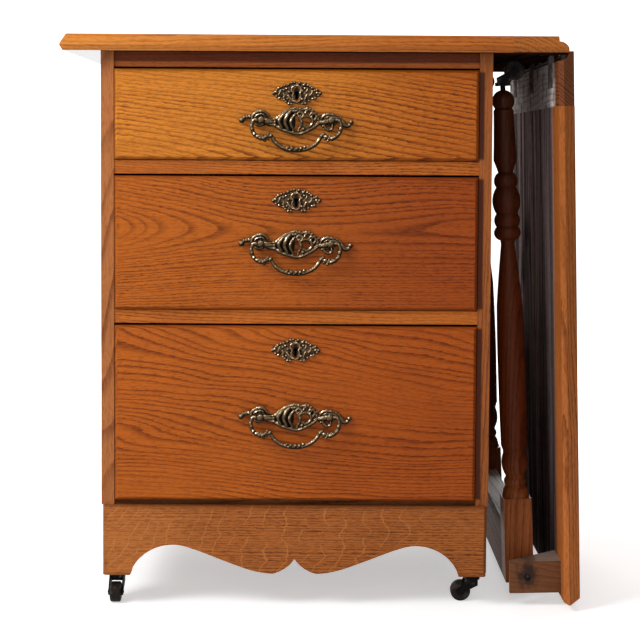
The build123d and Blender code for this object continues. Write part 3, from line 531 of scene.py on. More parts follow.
for look in ("topOak", "endStripOak"):
    caseLooks[look]["bare"] = darkUnder
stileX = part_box("right_side_panel")[0].x
drawerSpans = [(low.z, high.z) for low, high in [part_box(drawer + "_front") for drawer in drawers]]
# the right side board, with a painted shadow: a dark band on its front beside each drawer
caseLooks["rightSideOak"] = caseLooks["sideOak"] | {
    "light": (0.385, 0.114, 0.025), "dark": (0.275, 0.074, 0.016),
    "drawerShadow": {"fromTo": (stileX + 0.0050, stileX + 0.0080), "spans": drawerSpans, "soft": 0.004,
                 "color": (0.064, 0.011, 0.001)}}
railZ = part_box("top_rail")[0].z
# painted shadow of the top's overhang: the upper part of the top rail is darkened
caseLooks["topRailOak"]["tints"] = [
    ("Z", railZ + 0.0045, railZ + 0.0085, (0.30, 0.21, 0.15))]
caseNodes = {
    "sideOak": ("left_side_panel",),
    "rightSideOak": ("right_side_panel",),
    "railOak": ("upper_drawer_rail", "lower_drawer_rail"),
    "topRailOak": ("top_rail",),
    "topOak": ("top_panel",),
    "endStripOak": ("top_end_strip",),
}
for look, names in caseNodes.items():
    dress(oakMaterial(look, caseLooks[look]), *names)
    softenEdges(easedEdges["case"], *names)

# quarter-sawn apron with ray flecks
apronLook = {"axis": "x", "pith": (0.1, -0.231, -0.6), "tilt": 0.02, "ring": 0.0036, "wavy": 0.01,
             "light": (0.51, 0.166, 0.036), "dark": (0.365, 0.112, 0.021), "pore": (0.13, 0.032, 0.005),
             "tints": [("X", -0.24, -0.12, (0.87, 0.80, 0.72))],
             "figure": 0.35, "pores": 1.0, "fleck": 0.6, "fleckEnd": (0.08, 0.20), "slant": 0.16,
             "fleckColor": (0.62, 0.240, 0.066), "dirt": 0.18, "rim": 0.006, "box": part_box("front_apron")}
dress(oakMaterial("apronOak", apronLook), "front_apron")
softenEdges(easedEdges["case"], "front_apron")

# the leaf: brown outside and on its edges, dark and dry on the underside (-X while it hangs); the underside's
# colours are painted pale, as painted light for the gap between case and leaf, which gets little light
leafUnder = {"side": (-1, 0, 0), "sheen": 0.15, "light": (0.84, 0.69, 0.67), "dark": (0.38, 0.295, 0.285),
             "pore": (0.018, 0.014, 0.014), "flakeScale": 14.0, "flakes": 0.3,
             "flakeColor": (0.55, 0.43, 0.41), "streaks": 0.75, "jointY": -0.04, "marginY": -0.200,
             "fade": (0.05, 0.62, (0.30, 0.28, 0.28))}
# the strip's underside is painted pale too: painted light for the dark corner under the top
stripUnder = {"side": (-1, 0, 0), "sheen": 0.15, "light": (0.90, 0.84, 0.81), "dark": (0.62, 0.56, 0.53),
              "pore": (0.12, 0.10, 0.09), "figure": 0.25, "pores": 0.6, "flakeScale": 40.0, "flakes": 0.9,
              "flakeColor": (0.06, 0.048, 0.045), "marginY": -0.222}
leafLooks = {
    "leaf_panel": {"axis": "z", "pith": (0.3, 0.1, 0.62), "tilt": 0.04, "ring": 0.0045, "wavy": 0.02,
                   "light": (0.54, 0.168, 0.043), "dark": (0.37, 0.107, 0.026), "pore": (0.14, 0.036, 0.009),
                   "tints": [("Z", 0.15, 0.52, (0.74, 0.72, 0.62))],
                   "dirt": 0.18, "specular": 0.0, "rough": 0.6, "bare": leafUnder},
    "leaf_hinge_strip": {"axis": "y", "pith": (0.3, 0.1, 0.5), "tilt": 0.04, "ring": 0.0045, "wavy": 0.02,
                         "light": (0.20, 0.062, 0.022), "dark": (0.13, 0.038, 0.013),
                         "pore": (0.05, 0.014, 0.005), "dirt": 0.18, "specular": 0.0, "rough": 0.6,
                         "bare": stripUnder},
}
for name, look in leafLooks.items():
    dress(oakMaterial(name + "Oak", look), name)
softenEdges(easedEdges["leaf"], *leafLooks)

# legs that darken towards their heads, which are up while they are stowed
legLook = {"axis": "z", "pith": (0.3, 0.4, -0.4), "tilt": 0.04, "ring": 0.0058, "wavy": 0.02,
           "light": (0.35, 0.102, 0.027), "dark": (0.21, 0.058, 0.014), "pore": (0.075, 0.020, 0.006),
           "figure": 0.35, "pores": 0.6, "rough": 0.34, "specular": 0.10, "dirt": 0.3,
           "tints": [("Z", 0.10, 0.21, (0.36, 0.25, 0.22)),
                     ("Z", 0.34, 0.60, (0.48, 0.55, 0.60))]}
dress(oakMaterial("legWood", legLook), "front_leg", "rear_leg")

# dust on an upward face, painted very pale: real dust, and painted light for the light from behind that the
# stretcher's top doesn't get
dustAndPaintedLight = {"side": (0, 0, 1), "light": (0.82, 0.76, 0.74), "dark": (0.66, 0.60, 0.58),
            "pore": (0.40, 0.34, 0.32), "flakeScale": 40.0, "flakes": 0.5, "flakeColor": (0.30, 0.24, 0.22)}
stretcherLook = {"axis": "y", "pith": (0.3, 0.5, -0.2), "tilt": 0.06, "ring": 0.005, "wavy": 0.02,
                 "light": (0.21, 0.112, 0.080), "dark": (0.135, 0.069, 0.048), "pore": (0.045, 0.020, 0.014),
                 "rough": 0.55, "dirt": 0.5, "dirtScale": 22.0, "bare": dustAndPaintedLight}
dress(oakMaterial("stretcherWood", stretcherLook), "leg_stretcher")

pinLow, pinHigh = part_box("pivot_pins")
rustRise = 0.004
rustLook = {"centre": ((pinLow.x + pinHigh.x) / 2, (pinLow.z + pinHigh.z) / 2 + rustRise),
            "half": (0.019, 0.027), "soft": 0.25, "ragged": 1.4, "color": (0.030, 0.014, 0.010)}
cheekTop = dustAndPaintedLight | {"light": (0.22, 0.130, 0.080), "dark": (0.15, 0.088, 0.055),
                       "pore": (0.10, 0.06, 0.04), "flakes": 0.1}
cheekLook = {"axis": "x", "pith": (0.1, 0.3, 0.30), "tilt": 0.12, "ring": 0.0042, "wavy": 0.02,
             "light": (0.20, 0.073, 0.027), "dark": (0.12, 0.042, 0.015), "pore": (0.05, 0.018, 0.008),
             "figure": 0.2, "pores": 0.35, "rough": 0.55, "dirt": 0.45, "dirtScale": 30.0,
             "bare": cheekTop, "spot": rustLook}
dress(oakMaterial("cheekWood", cheekLook), "pivot_cheeks")

plainLooks = {
    "plainWood": {"axis": "y", "pith": (0.3, 0.5, -0.2), "tilt": 0.03, "ring": 0.006, "wavy": 0.02,
                  "light": (0.42, 0.24, 0.11), "dark": (0.30, 0.155, 0.065), "pore": (0.15, 0.07, 0.03),
                  "figure": 0.4, "pores": 0.6, "rough": 0.5, "dirt": 0.25},
    # baseWood: dark colours for the bottom board, corner posts and base skirts, as painted shade for the gap
    # under the bottom drawer
    "baseWood": {"axis": "round", "pith": (0.3, 0.5, -0.2), "tilt": 0.03, "ring": 0.005, "wavy": 0.02,
                 "light": (0.24, 0.090, 0.030), "dark": (0.16, 0.056, 0.018), "pore": (0.06, 0.02, 0.007),
                 "rough": 0.5, "dirt": 0.35},
    "backWood": {"axis": "z", "pith": (0.3, 0.2, -0.1), "tilt": 0.08, "ring": 0.007, "wavy": 0.03,
                 "light": (0.32, 0.17, 0.075), "dark": (0.21, 0.10, 0.042), "pore": (0.1, 0.045, 0.02),
                 "rough": 0.5, "dirt": 0.4},
}
plainNodes = {
    "plainWood": ("drawer_runners", *[f"{d}_{n}" for d in drawers for n in ("sides", "back", "bottom")]),
    "baseWood": ("bottom_board", "corner_posts", "base_skirts"),
    "backWood": ("back_panel",),
}
for look, names in plainNodes.items():
    dress(oakMaterial(look, plainLooks[look]), *names)
softenEdges(easedEdges["rough"], "leg_stretcher", "pivot_cheeks", "base_skirts", "corner_posts")
print("wood dressed")


castWearAndLight = {"upper": (0.15, 1.0), "upperShare": (0.85, 0.1), "rubShare": (0.8, 0.5), "middle": (0.0, 0.35),
            "bright": (0.40, 1.0), "smoother": 0.15, "fine": (700, 700, 700), "fineDepth": 0.0003}


# cast metal: dark patina in the hollows, rubbed bright on the high spots; the sides turned up towards the key
# lamp carry a painted highlight, and the sides turned away and underneath painted shade
def castMetal(name, look):
    material, tree, shader = newMaterial(name)
    coords = newNode(tree, "ShaderNodeTexCoord")
    here = coords.outputs["Object"]
    rubAndHighlight = placeGroup(tree, grime, here, Scale=look["markScale"], Amount=1.0).outputs["Stain"]
    if "depth" in look:  # distance out from the piece's back face
        high = ramp(tree, times(tree, splitOf(tree, here)["Y"], -1.0), *look["depth"])
        # painted light: faces turned towards the key lamp are painted brighter, faces turned away darker
        upper = facing(tree, coords, look["upper"], *castWearAndLight["upper"])
        upper = timesPlus(tree, upper, *castWearAndLight["upperShare"])
        rubAndHighlight = times(tree, upper, times(tree, high, timesPlus(tree, rubAndHighlight, *castWearAndLight["rubShare"])))
    color = mixColor(tree, ramp(tree, rubAndHighlight, *castWearAndLight["middle"]), look["dark"], look["middle"])
    color = mixColor(tree, ramp(tree, rubAndHighlight, *castWearAndLight["bright"]), color, look["bright"])
    link(tree, color, shader.inputs["Base Color"])
    shader.inputs["Metallic"].default_value = look["metallic"]
    shader.inputs["Specular IOR Level"].default_value = look.get("specular", 0.2)
    rough = minus(tree, look["rough"], times(tree, rubAndHighlight, castWearAndLight["smoother"]))
    link(tree, rough, shader.inputs["Roughness"])
    fine = noiseAt(tree, here, castWearAndLight["fine"], 3.0)
    bumpFrom(tree, fine, shader, look["bump"], castWearAndLight["fineDepth"])
    return material


metalLooks = {
    # antiqueBrass: its bright colour is partly a painted highlight, on the faces turned towards the key lamp
    "antiqueBrass": {"dark": (0.008, 0.005, 0.003), "middle": (0.120, 0.077, 0.040),
                     "bright": (0.90, 0.72, 0.48), "metallic": 0.9, "rough": 0.42, "markScale": 330.0,
                     "depth": (0.0006, 0.0052), "upper": (-0.35, -0.55, 0.75), "bump": 0.5},
    "agedIron": {"dark": (0.004, 0.003, 0.003), "middle": (0.014, 0.011, 0.009),
                 "bright": (0.075, 0.060, 0.050), "metallic": 0.7, "rough": 0.6,
                 "markScale": 90.0, "bump": 0.5},
    "wheelBrown": {"dark": (0.016, 0.012, 0.010), "middle": (0.046, 0.034, 0.028),
                   "bright": (0.11, 0.085, 0.07), "metallic": 0.0, "specular": 0.08, "rough": 0.55,
                   "markScale": 70.0, "bump": 0.4},
}
brassLook = metalLooks["antiqueBrass"]
antiqueBrass = castMetal("antiqueBrass", brassLook)
bailBrass = castMetal("bailBrass", brassLook | {"depth": (-0.0030, 0.0022)})
shieldLook = brassLook | {"depth": (0.0002, 0.0022), "middle": (0.24, 0.152, 0.080)}
shieldBrass = castMetal("shieldBrass", shieldLook)
agedIron = castMetal("agedIron", metalLooks["agedIron"])
wheelBrown = castMetal("wheelBrown", metalLooks["wheelBrown"])
dullPaint = metalLooks["agedIron"] | {"metallic": 0.0, "specular": 0.0, "rough": 0.85,
                                      "middle": (0.06, 0.048, 0.044)}
dress(castMetal("paintedIron", dullPaint), "hinge_top_flaps", "hinge_pins")
greyPaint = {"dark": (0.17, 0.15, 0.14), "middle": (0.34, 0.30, 0.285), "bright": (0.42, 0.38, 0.36)}
dress(castMetal("greyIron", dullPaint | greyPaint), "hinge_leaf_flaps")  # as grey as the strip they lie in
dress(agedIron, "pivot_pins", "caster_plates",
      *[d + "_lock" for d in drawers], *[c + "_caster_fork" for c in casters])
dress(wheelBrown, *[c + "_caster_wheel" for c in casters])
print("metal dressed")


millimetre = 0.001


# cast drawer hardware, in millimetres about its own centre: x right, z up, y out of the drawer is negative
def tube(bm, points, radii, sides=10):
    rings = []
    count = len(points)
    points = [Vector(p) for p in points]
    for index, point in enumerate(points):
        ahead = points[min(index + 1, count - 1)] - points[max(index - 1, 0)]
        ahead.normalize()
        side = ahead.cross(Vector((0, 1, 0)))
        if side.length < 1e-4:
            side = Vector((1, 0, 0))
        side.normalize()
        up = side.cross(ahead)
        radius = radii if isinstance(radii, (int, float)) else radii[index]
        rings.append([bm.verts.new(point + radius * (math.cos(a) * side + math.sin(a) * up))
                      for a in [2 * math.pi * k / sides for k in range(sides)]])
    for low, high in zip(rings, rings[1:]):
        for k in range(sides):
            bm.faces.new((low[k], low[(k + 1) % sides], high[(k + 1) % sides], high[k]))
    bm.faces.new(list(reversed(rings[0])))
    bm.faces.new(rings[-1])


def smoothPath(points, steps=8):
    points = [Vector(p) for p in points]
    padded = [2 * points[0] - points[1], *points, 2 * points[-1] - points[-2]]
    path = []
    for a, b, c, d in zip(padded, padded[1:], padded[2:], padded[3:]):
        for k in range(steps):
            t = k / steps
            path.append(0.5 * (2 * b + (c - a) * t + (2 * a - 5 * b + 4 * c - d) * t * t
                               + (3 * b - a - 3 * c + d) * t * t * t))
    path.append(points[-1])
    return path


def taper(count, start, middle, end):
    return [start + (middle - start) * 2 * t if t < 0.5 else middle + (end - middle) * (2 * t - 1)
            for t in [k / (count - 1) for k in range(count)]]


def rib(bm, points, thick):
    path = smoothPath(points)
    tube(bm, path, taper(len(path), *thick))


def bead(bm, centre, size):
    size = (size, size, size) if isinstance(size, (int, float)) else size
    made = bmesh.ops.create_uvsphere(bm, u_segments=12, v_segments=8, radius=1)
    for vert in made["verts"]:
        vert.co = Vector(centre) + Vector(a * b for a, b in zip(vert.co, size))


def flattenBack(bm):  # the back lies flat on the drawer
    for vert in bm.verts:
        vert.co.y = min(vert.co.y, 0.0)


def castPiece(name, bm, voxel, material):
    bmesh.ops.recalc_face_normals(bm, faces=bm.faces)
    for vert in bm.verts:
        vert.co *= millimetre
    mesh = bpy.data.meshes.new(name)
    bm.to_mesh(mesh)
    bm.free()
    rough = bpy.data.objects.new(name + "Draft", mesh)
    scene.collection.objects.link(rough)
    remesh = rough.modifiers.new("cast", "REMESH")
    remesh.mode = "VOXEL"
    remesh.voxel_size = voxel
    smooth = rough.modifiers.new("polish", "SMOOTH")
    smooth.factor = 0.5
    smooth.iterations = 2
    evaluated = rough.evaluated_get(bpy.context.evaluated_depsgraph_get())
    solid = bpy.data.meshes.new_from_object(evaluated)
    bpy.data.objects.remove(rough)
    solid.name = name
    for polygon in solid.polygons:
        polygon.use_smooth = True
    solid.materials.clear()
    solid.materials.append(material)
    return solid


# pierced pull plate: ribs are x, z points with start, middle and end thickness, beads are x, z and radius,
# grounds are x, z and half sizes, arms end with how far they stand out
pullShape = {
    "voxel": 0.00045, "post": 46.0, "postReach": 14.0, "postRadius": 4.4, "postCap": 1.8,
    "groundOut": 0.3, "groundThick": 0.9, "rimRadius": 2.3, "ribLift": 0.4, "beadLift": 0.9, "knobOut": 3.6,
    "neck": ((28.0, -1.6, -2.4), (35.0, -2.4, -2.4), (42.0, -2.0, -1.0)), "neckThick": (3.0, 4.0, 4.8),
    "roundel": (8.0, 2.4, 8.0), "roundelOut": 1.6,
    "rosette": {"count": 9, "radius": 6.6, "out": 3.6, "bead": 1.2},
    "dome": {"half": (34.0, 24.0), "low": 2.0, "rise": 3.6},
    "rim": ((-29.0, -3.4), (-25.5, 2.6), (-19, 8.2), (-11, 13.0), (-2.8, 15.2), (6.5, 14.2), (14.7, 14.6),
            (21.8, 11.3), (27, 5.1), (29.4, -1.0), (25.6, -6.8), (16.7, -12.3), (8.5, -16.2), (0.3, -17.6),
            (-8.9, -15.4), (-19.2, -12.0), (-26.6, -7.6), (-29.0, -3.4)),
    "ribs": (
        (((-13.6, 11.0), (-20.5, 3.2), (-22.4, -3.0), (-18.6, -10.6)), (2.0, 3.0, 2.0)),
        (((-6.4, 13.4), (-12.4, 5.0), (-14.6, -3.4), (-10.4, -13.8)), (2.2, 3.2, 2.1)),
        (((-0.6, 9.0), (-5.6, 2.6), (-7.0, -4.6), (-3.0, -14.2)), (1.8, 2.7, 1.8)),
        (((0.6, 8.6), (5.6, 0.6), (6.4, -5.8), (1.8, -13.6)), (1.5, 2.2, 1.5)),
        (((1.0, 8.4), (4.4, 10.6), (8.8, 8.6), (8.2, 4.4), (4.6, 2.4)), (1.5, 2.0, 1.5)),
        (((8.2, 4.6), (14.6, 5.6), (20.2, 2.2), (20.8, -4.0), (15.4, -8.6), (9.0, -7.0), (6.4, -1.4)),
         (1.7, 2.2, 1.7)),
        (((11, 8.6), (13.4, 12.4), (15.7, 16.0)), (1.4, 2.2, 1.2)),
        (((16.8, 6.4), (19.8, 9.4), (22.9, 13.0)), (1.4, 2.2, 1.2)),
        (((22.4, -1.6), (25.6, 3.0), (29.6, 7.4)), (1.4, 2.2, 1.3)),
        (((24.6, -4.8), (29.0, -1.4), (33.0, 2.6)), (1.1, 1.6, 1.0)),
        (((-9.4, 14.4), (-3.4, 12.0), (2.0, 12.6)), (1.4, 2.0, 1.2)),
    ),
    # the ground: dark sheets behind the plate's openings, as painted shade
    "ground": ((-17.0, -0.8, 11.0, 10.6), (-7.0, -1.0, 6.0, 14.0), (-34.0, -2.6, 9.0, 6.0),
               (35.0, -2.0, 8.0, 5.6), (22.0, 6.0, 7.0, 6.0)),
    "beads": ((-1.7, 16.2, 2.0), (1.6, 16.6, 1.7), (5.4, 15.6, 1.9), (8.5, 13.6, 1.6), (14.7, 16.6, 2.0),
              (17.9, 15.2, 1.9), (13.2, 12.0, 1.6), (21.0, 12.6, 2.1), (21.8, 8.0, 1.7), (25.2, 9.4, 1.8),
              (26.4, 5.0, 1.9), (28.4, 1.0, 1.7), (20.0, 5.0, 1.5), (9.0, -11.6, 2.2), (2.9, -13.8, 1.8),
              (12.8, -9.6, 1.6), (16.0, -11.6, 1.5), (-5.0, 15.2, 1.7), (-8.2, 13.8, 1.6), (5.8, 6.4, 1.2)),
    "arms": (
        (((-57.0, 3.6), (-62.0, 4.6), (-67.4, 3.8), (-71.6, 0.4)), (2.4, 2.2, 2.6), 3.2),
        (((-58.8, 1.0), (-56.5, 7.0), (-51.0, 10.8), (-45.0, 11.6), (-40.0, 9.4), (-36.0, 4.6)),
         (2.0, 2.8, 1.9), 4.4),
        (((-54.6, 3.6), (-50.4, 7.2), (-45.2, 8.0), (-41.0, 5.4)), (1.0, 1.3, 0.9), 5.4),
        (((-55.8, 1.6), (-53.6, -4.6), (-48.2, -6.6), (-43.0, -5.0)), (1.7, 2.3, 1.7), 3.6),
        (((-43.0, 1.2), (-35.0, 1.0), (-27.0, 1.6)), (1.6, 1.3, 1.5), 4.6),
        (((-44.0, -2.6), (-35.0, -5.6), (-27.0, -6.6)), (1.8, 1.4, 1.5), 4.2),
        (((33.0, 3.0), (37.4, 7.2), (42.3, 8.2), (47.5, 6.8), (51.4, 2.8), (52.4, -2.4)),
         (2.0, 2.8, 2.0), 4.6),
        (((37.0, 2.6), (42.0, 5.0), (46.0, 4.0)), (0.9, 1.3, 0.9), 5.4),
        (((36.6, 0.6), (36.8, -7.4), (41.6, -12.4), (46.4, -10.8), (47.4, -7.2)), (1.7, 2.2, 1.5), 3.4),
        (((44.0, 7.2), (53.6, 4.4), (58.9, -1.0), (63.0, -5.4), (67.2, -7.0), (70.8, -4.6)),
         (2.8, 4.0, 2.4), 3.6),
        (((47.0, 8.0), (54.6, 5.8), (60.2, 0.6), (65.0, -4.0)), (0.8, 1.2, 0.8), 6.4),
        (((48.6, 4.4), (54.0, 2.0), (58.0, -2.8), (62.0, -6.8)), (0.8, 1.2, 0.8), 6.2),
    ),
    "knobs": ((-71.8, 0.0, 3.9), (-68.0, 3.8, 3.0), (-64.4, 4.4, 3.2), (-60.8, 4.7, 3.2), (-57.4, 4.2, 2.8),
              (-37.4, 7.4, 1.7), (-40.6, 10.0, 1.5), (71.6, -2.2, 3.4), (33.6, 5.0, 1.7), (31.4, 7.4, 1.5),
              (34.6, -7.6, 1.8), (37.8, -11.2, 1.7), (41.8, -12.8, 1.6), (68.2, -7.0, 2.0)),
}


def buildPullPlate(shape):
    bm = bmesh.new()
    dome = shape["dome"]

    def raised(x, z, lift=0.0):
        share = (x / dome["half"][0]) ** 2 + (z / dome["half"][1]) ** 2
        return (x, -dome["low"] - dome["rise"] * max(0.0, 1 - share) - lift, z)

    # dark sheets behind the openings, as painted shade: the brass's hollow colour makes them near black
    for x, z, wide, high in shape["ground"]:
        bead(bm, (x, -shape["groundOut"], z), (wide, shape["groundThick"], high))
    tube(bm, smoothPath([raised(x, z) for x, z in shape["rim"]], 5), shape["rimRadius"])
    for points, thick in shape["ribs"]:
        rib(bm, [raised(x, z, shape["ribLift"]) for x, z in points], thick)
    for x, z, size in shape["beads"]:
        bead(bm, raised(x, z, shape["beadLift"]), size)
    for points, thick, out in shape["arms"]:
        rib(bm, [(x, -out, z) for x, z in points], thick)
    for x, z, size in shape["knobs"]:
        bead(bm, (x, -shape["knobOut"], z), size)
    rosette = shape["rosette"]
    radius = shape["postRadius"]
    for side in (-1, 1):  # necks, roundels and posts
        post = side * shape["post"]
        rib(bm, [(side * x, y, z) for x, y, z in shape["neck"]], shape["neckThick"])
        bead(bm, (post, -shape["roundelOut"], 0), shape["roundel"])
        tube(bm, [(post, 0, 0), (post, -shape["postReach"], 0)], radius, 16)
        bead(bm, (post, -shape["postReach"], 0), (radius, shape["postCap"], radius))
        for k in range(rosette["count"]):
            angle = 2 * math.pi * k / rosette["count"]
            x = post + rosette["radius"] * math.cos(angle)
            bead(bm, (x, -rosette["out"], rosette["radius"] * math.sin(angle)), rosette["bead"])
    flattenBack(bm)
    return castPiece("pullPlate", bm, shape["voxel"], antiqueBrass)


# bail: half of its wire's path as x, z points, mirrored, with leaves as x, z and radius
bailShape = {
    "voxel": 0.00045, "standoff": 11.0, "wire": 2.6, "pin": 1.7, "pinFromTo": (43.6, 51.4),
    "stoutWithin": 31.0, "stout": 1.04, "leafOut": 0.7,
    "halfPath": ((50.6, 0.0), (55.2, 0.2), (58.0, -4.2), (58.2, -10.0), (56.0, -17.0), (50.8, -22.0),
                 (44.0, -23.8), (38.0, -21.4), (33.4, -20.8), (30.2, -24.6), (26.6, -29.8), (19.2, -35.0),
                 (10.6, -38.2), (0.0, -39.4)),
    "leaves": ((54.6, -18.4, 2.9), (50.6, -21.8, 3.0), (46.8, -23.6, 3.2), (43.0, -23.8, 3.0),
               (39.4, -21.6, 3.2), (36.2, -17.8, 2.6), (32.8, -20.2, 2.8), (41.4, -26.4, 2.1),
               (37.2, -24.4, 2.1), (48.6, -20.2, 2.0), (57.4, -12.0, 2.7), (44.4, -20.8, 1.8)),
    "middle": ((-10.4, 2.5), (-5.4, 3.1), (0.4, 3.4), (6.2, 3.1), (11.0, 2.5)),
    "middleOut": 1.2, "middleZ": -37.4, "middleCurve": 0.02, "middleNarrow": 0.9,
}


def buildBail(shape):
    bm = bmesh.new()
    half = shape["halfPath"]
    path = smoothPath([(-x, 0, z) for x, z in half] + [(x, 0, z) for x, z in reversed(half[:-1])], 6)
    radii = [shape["wire"] * (1.0 if abs(p.x) > shape["stoutWithin"] else shape["stout"]) for p in path]
    tube(bm, path, radii, 12)
    for side in (-1, 1):
        tube(bm, [(side * x, 0, 0) for x in shape["pinFromTo"]], shape["pin"], 12)
        for x, z, size in shape["leaves"]:
            bead(bm, (side * x, -shape["leafOut"], z), size)
    for x, size in shape["middle"]:
        z = shape["middleZ"] + shape["middleCurve"] * x * x
        bead(bm, (x, -shape["middleOut"], z), (size * shape["middleNarrow"], size, size))
    return castPiece("bail", bm, shape["voxel"], bailBrass)


# escutcheon: packed beads and strokes on a thin lobed ground round the keyhole, in the plate's terms
escutcheonShape = {
    "voxel": 0.00038, "groundOut": 0.4, "groundThick": 0.8, "tall": 1.06, "beadsTall": 1.08,
    "strokeOut": 2.6, "strokeThick": (1.15, 1.45, 1.15), "beadOut": 2.2, "beadScale": (1.18, 1.25, 1.18),
    "ground": ((-22, 0.4, 9.6, 6.6), (-13.4, 0, 8.4, 10.2), (22, 0, 9.6, 6.6), (14, 0, 8.6, 10.2),
               (-29.6, -0.4, 3.2, 3.0), (30.0, -0.4, 3.2, 3.0), (0, 10.8, 8.4, 2.6), (-7.6, 8.6, 4.0, 4.4),
               (8.0, 9.0, 4.2, 4.2), (-8.4, -9.4, 4.6, 5.0), (9.6, -9.8, 5.0, 5.0), (0, -11.4, 6.4, 1.8)),
    "beads": ((-10.7, 10.2, 1.8), (-6.3, 12.2, 1.6), (-2.6, 12.8, 1.5), (0.8, 10.8, 1.4), (3.9, 12.3, 1.7),
              (9.3, 9.6, 1.8), (14.6, 9.4, 1.7), (-16.6, 3.4, 1.7), (-23.4, 5.8, 1.7), (-27.3, 1.0, 1.8),
              (-30.6, -0.5, 1.6), (-22.4, -6.4, 1.8), (-16.4, -8.4, 1.6), (-12.2, -7.3, 1.6),
              (-10.2, -12.9, 1.8), (7.6, 2.4, 1.7), (7.4, -7.8, 1.8), (11.7, -12.6, 1.8), (16.1, -9.6, 1.7),
              (23.9, 2.9, 1.7),
              (26.6, 0.0, 1.8), (30.6, 0.0, 1.6), (24.4, -6.2, 1.7), (28.7, -3.0, 1.5), (20.9, -6.8, 1.5),
              (-9.9, 1.0, 1.7), (-15.6, 8.6, 1.5), (-14.1, -10.6, 1.5), (20.2, 6.0, 1.5), (26.6, 4.0, 1.4),
              (-26.3, -4.4, 1.5), (-26.0, 3.9, 1.3), (-6.6, -13.2, 1.4), (7.6, -13.0, 1.4), (11.6, 12.0, 1.3),
              (-19.4, 7.6, 1.4), (17.8, 8.0, 1.3), (-13.2, 5.2, 1.4), (10.6, 5.6, 1.4)),
    "strokes": (((-20.2, 4.4), (-21.6, 1.0), (-23.8, -3.2)), ((14.6, 5.4), (13.6, 3.0), (12.4, 0.6)),
                ((20.8, 3.6), (20.0, -0.4), (16.6, -3.6)), ((-11.6, -2.6), (-8.6, -6.8), (-4.4, -11.0)),
                ((-2.9, 8.6), (-5.8, 6.6), (-6.6, 2.6), (-4.3, -0.5), (-5.6, -4.4), (-3.9, -8.8)),
                ((2.4, 8.8), (5.4, 6.0), (5.8, 2.4), (4.3, -1.2), (5.6, -4.4), (4.0, -8.8)),
                ((-3.9, -9.6), (0, -11.6), (4.4, -9.8)), ((13.6, -2.0), (12.0, -5.0), (10.6, -8.6)),
                ((-17.6, -0.6), (-16.0, -3.6), (-17.8, -6.0)), ((-2.6, 9.6), (0, 8.4), (2.6, 9.6))),
}


def buildEscutcheon(shape):
    bm = bmesh.new()
    for x, z, wide, high in shape["ground"]:
        bead(bm, (x, -shape["groundOut"], z * shape["tall"]), (wide, shape["groundThick"], high))
    for points in shape["strokes"]:
        rib(bm, [(x, -shape["strokeOut"], z * shape["tall"]) for x, z in points], shape["strokeThick"])
    for x, z, size in shape["beads"]:
        sizes = [size * scale for scale in shape["beadScale"]]
        bead(bm, (x, -shape["beadOut"], z * shape["beadsTall"]), sizes)
    flattenBack(bm)
    return castPiece("escutcheon", bm, shape["voxel"], shieldBrass)


plateMesh = buildPullPlate(pullShape)
bailMesh = buildBail(bailShape)
escutcheonMesh = buildEscutcheon(escutcheonShape)


def standIn(name, mesh, node, centre, body):
    piece = bpy.data.objects.new(name, mesh)
    scene.collection.objects.link(piece)
    piece.location = centre
    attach(piece, body)
    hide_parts(node)


for drawer in drawers:
    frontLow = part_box(drawer + "_front")[0]
    plateLow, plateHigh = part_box(drawer + "_pull_plate")
    shieldLow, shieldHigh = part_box(drawer + "_escutcheon")
    middleX = (plateLow.x + plateHigh.x) / 2
    pullZ = (plateLow.z + plateHigh.z) / 2
    shieldZ = (shieldLow.z + shieldHigh.z) / 2
    faceY = frontLow.y
    bailY = faceY - bailShape["standoff"] * millimetre
    standIn(drawer + "PullPlate", plateMesh, drawer + "_pull_plate", (middleX, faceY, pullZ), drawer)
    standIn(drawer + "Bail", bailMesh, drawer + "_bail", (middleX, bailY, pullZ), drawer + "_bail")
    standIn(drawer + "Escutcheon", escutcheonMesh, drawer + "_escutcheon", (middleX, faceY, shieldZ), drawer)
castFaces = [len(mesh.polygons) for mesh in (plateMesh, bailMesh, escutcheonMesh)]
print("drawer hardware built:", castFaces, "faces")


# white sweep: floor that curves up into the backdrop
stageLook = {"floorColor": (0.86, 0.86, 0.86), "floorRough": 0.9, "floorSpecular": 0.1,
             "nearGlow": 0.48, "farGlow": 1.0, "glowFrom": 0.3, "glowTo": 2.2,  # its share of white
             "width": 14.0, "front": -6.0, "back": 2.6, "curve": 1.8, "curveSteps": 16, "height": 7.0,
             "world": 0.36, "aim": (0, 0, 0.42),
             "lamps": (("keyLight", 30.0, (-1.35, -1.05, 1.6), 0.9),
                       ("fillLight", 6.0, (-0.2, -2.6, 0.95), 1.6),
                       ("backLight", 32.0, (0.2, 2.0, 1.1), 1.0))}


def seenRays(tree):  # rays that show the white itself, and not its light
    rays = newNode(tree, "ShaderNodeLightPath").outputs
    mirrored = larger(tree, rays["Is Glossy Ray"], rays["Is Transmission Ray"])
    return larger(tree, rays["Is Camera Ray"], mirrored)


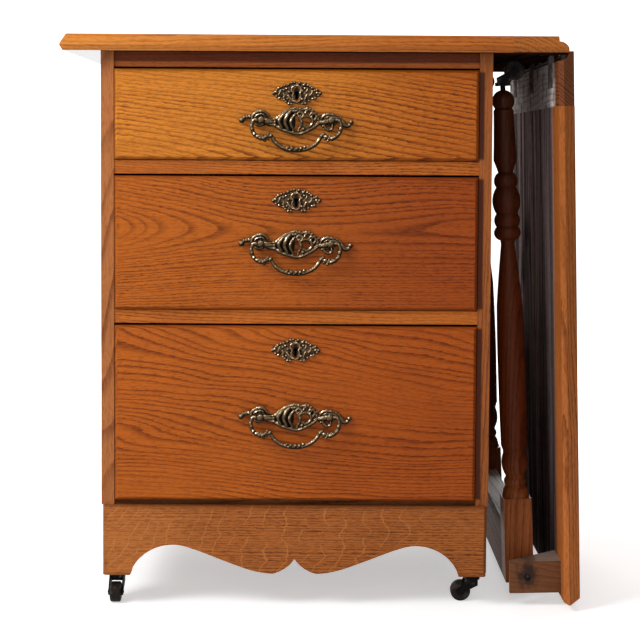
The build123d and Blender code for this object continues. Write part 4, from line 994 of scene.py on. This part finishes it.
def buildSweep(look):
    profile = [(look["front"], 0.0)]
    for k in range(look["curveSteps"] + 1):
        angle = math.pi / 2 * k / look["curveSteps"]
        y = look["back"] + look["curve"] * math.sin(angle)
        profile.append((y, look["curve"] * (1 - math.cos(angle))))
    profile.append((look["back"] + look["curve"], look["height"]))
    bm = bmesh.new()
    rows = [[bm.verts.new((side * look["width"] / 2, y, z)) for side in (-1, 1)] for y, z in profile]
    for low, high in zip(rows, rows[1:]):
        bm.faces.new((low[0], low[1], high[1], high[0]))
    mesh = bpy.data.meshes.new("studioSweep")
    bm.to_mesh(mesh)
    bm.free()
    for polygon in mesh.polygons:
        polygon.use_smooth = True
    sweep = bpy.data.objects.new("studioSweep", mesh)
    scene.collection.objects.link(sweep)
    material, tree, shader = newMaterial("studioSweep")
    shader.inputs["Base Color"].default_value = (*look["floorColor"], 1)
    shader.inputs["Roughness"].default_value = look["floorRough"]
    shader.inputs["Specular IOR Level"].default_value = look["floorSpecular"]
    shader.inputs["Emission Color"].default_value = (1, 1, 1, 1)
    place = splitOf(tree, newNode(tree, "ShaderNodeTexCoord").outputs["Object"])
    far = ramp(tree, place["Y"], look["glowFrom"], look["glowTo"])
    glow = timesPlus(tree, far, look["farGlow"] - look["nearGlow"], look["nearGlow"])
    link(tree, times(tree, seenRays(tree), glow), shader.inputs["Emission Strength"])
    mesh.materials.append(material)


def buildLight(look):
    world = bpy.data.worlds.new("studio")
    scene.world = world
    world.use_nodes = True
    tree = world.node_tree
    sky = tree.nodes["Background"]
    sky.inputs["Color"].default_value = (1, 1, 1, 1)
    link(tree, upFrom(tree, seenRays(tree), look["world"]), sky.inputs["Strength"])
    for name, power, place, size in look["lamps"]:
        data = bpy.data.lights.new(name, "AREA")
        data.energy = power
        data.size = size
        lamp = bpy.data.objects.new(name, data)
        scene.collection.objects.link(lamp)
        lamp.location = place
        lamp.rotation_euler = (Vector(look["aim"]) - Vector(place)).to_track_quat("-Z", "Y").to_euler()


buildSweep(stageLook)
buildLight(stageLook)

# angles in degrees, focal length and drop of the image centre in pixels of the frame
cameraLook = {"place": (-0.0039, -2.195, 0.6126), "pitch": -3.069, "roll": -0.338,
              "focal": 1491.4, "drop": 92.0, "frame": 640, "sensor": 36}


def buildCamera(look):
    data = bpy.data.cameras.new("photoCamera")
    camera = bpy.data.objects.new("photoCamera", data)
    scene.collection.objects.link(camera)
    data.sensor_width = look["sensor"]
    data.sensor_fit = "HORIZONTAL"
    data.lens = look["sensor"] * look["focal"] / look["frame"]
    data.shift_y = -look["drop"] / look["frame"]
    pitch = Matrix.Rotation(math.radians(look["pitch"]), 4, "X")
    roll = Matrix.Rotation(math.radians(look["roll"]), 4, "Y")
    upright = Matrix.Rotation(math.pi / 2, 4, "X")
    camera.matrix_world = Matrix.Translation(look["place"]) @ pitch @ roll @ upright
    scene.camera = camera


buildCamera(cameraLook)
print("stage and camera set")
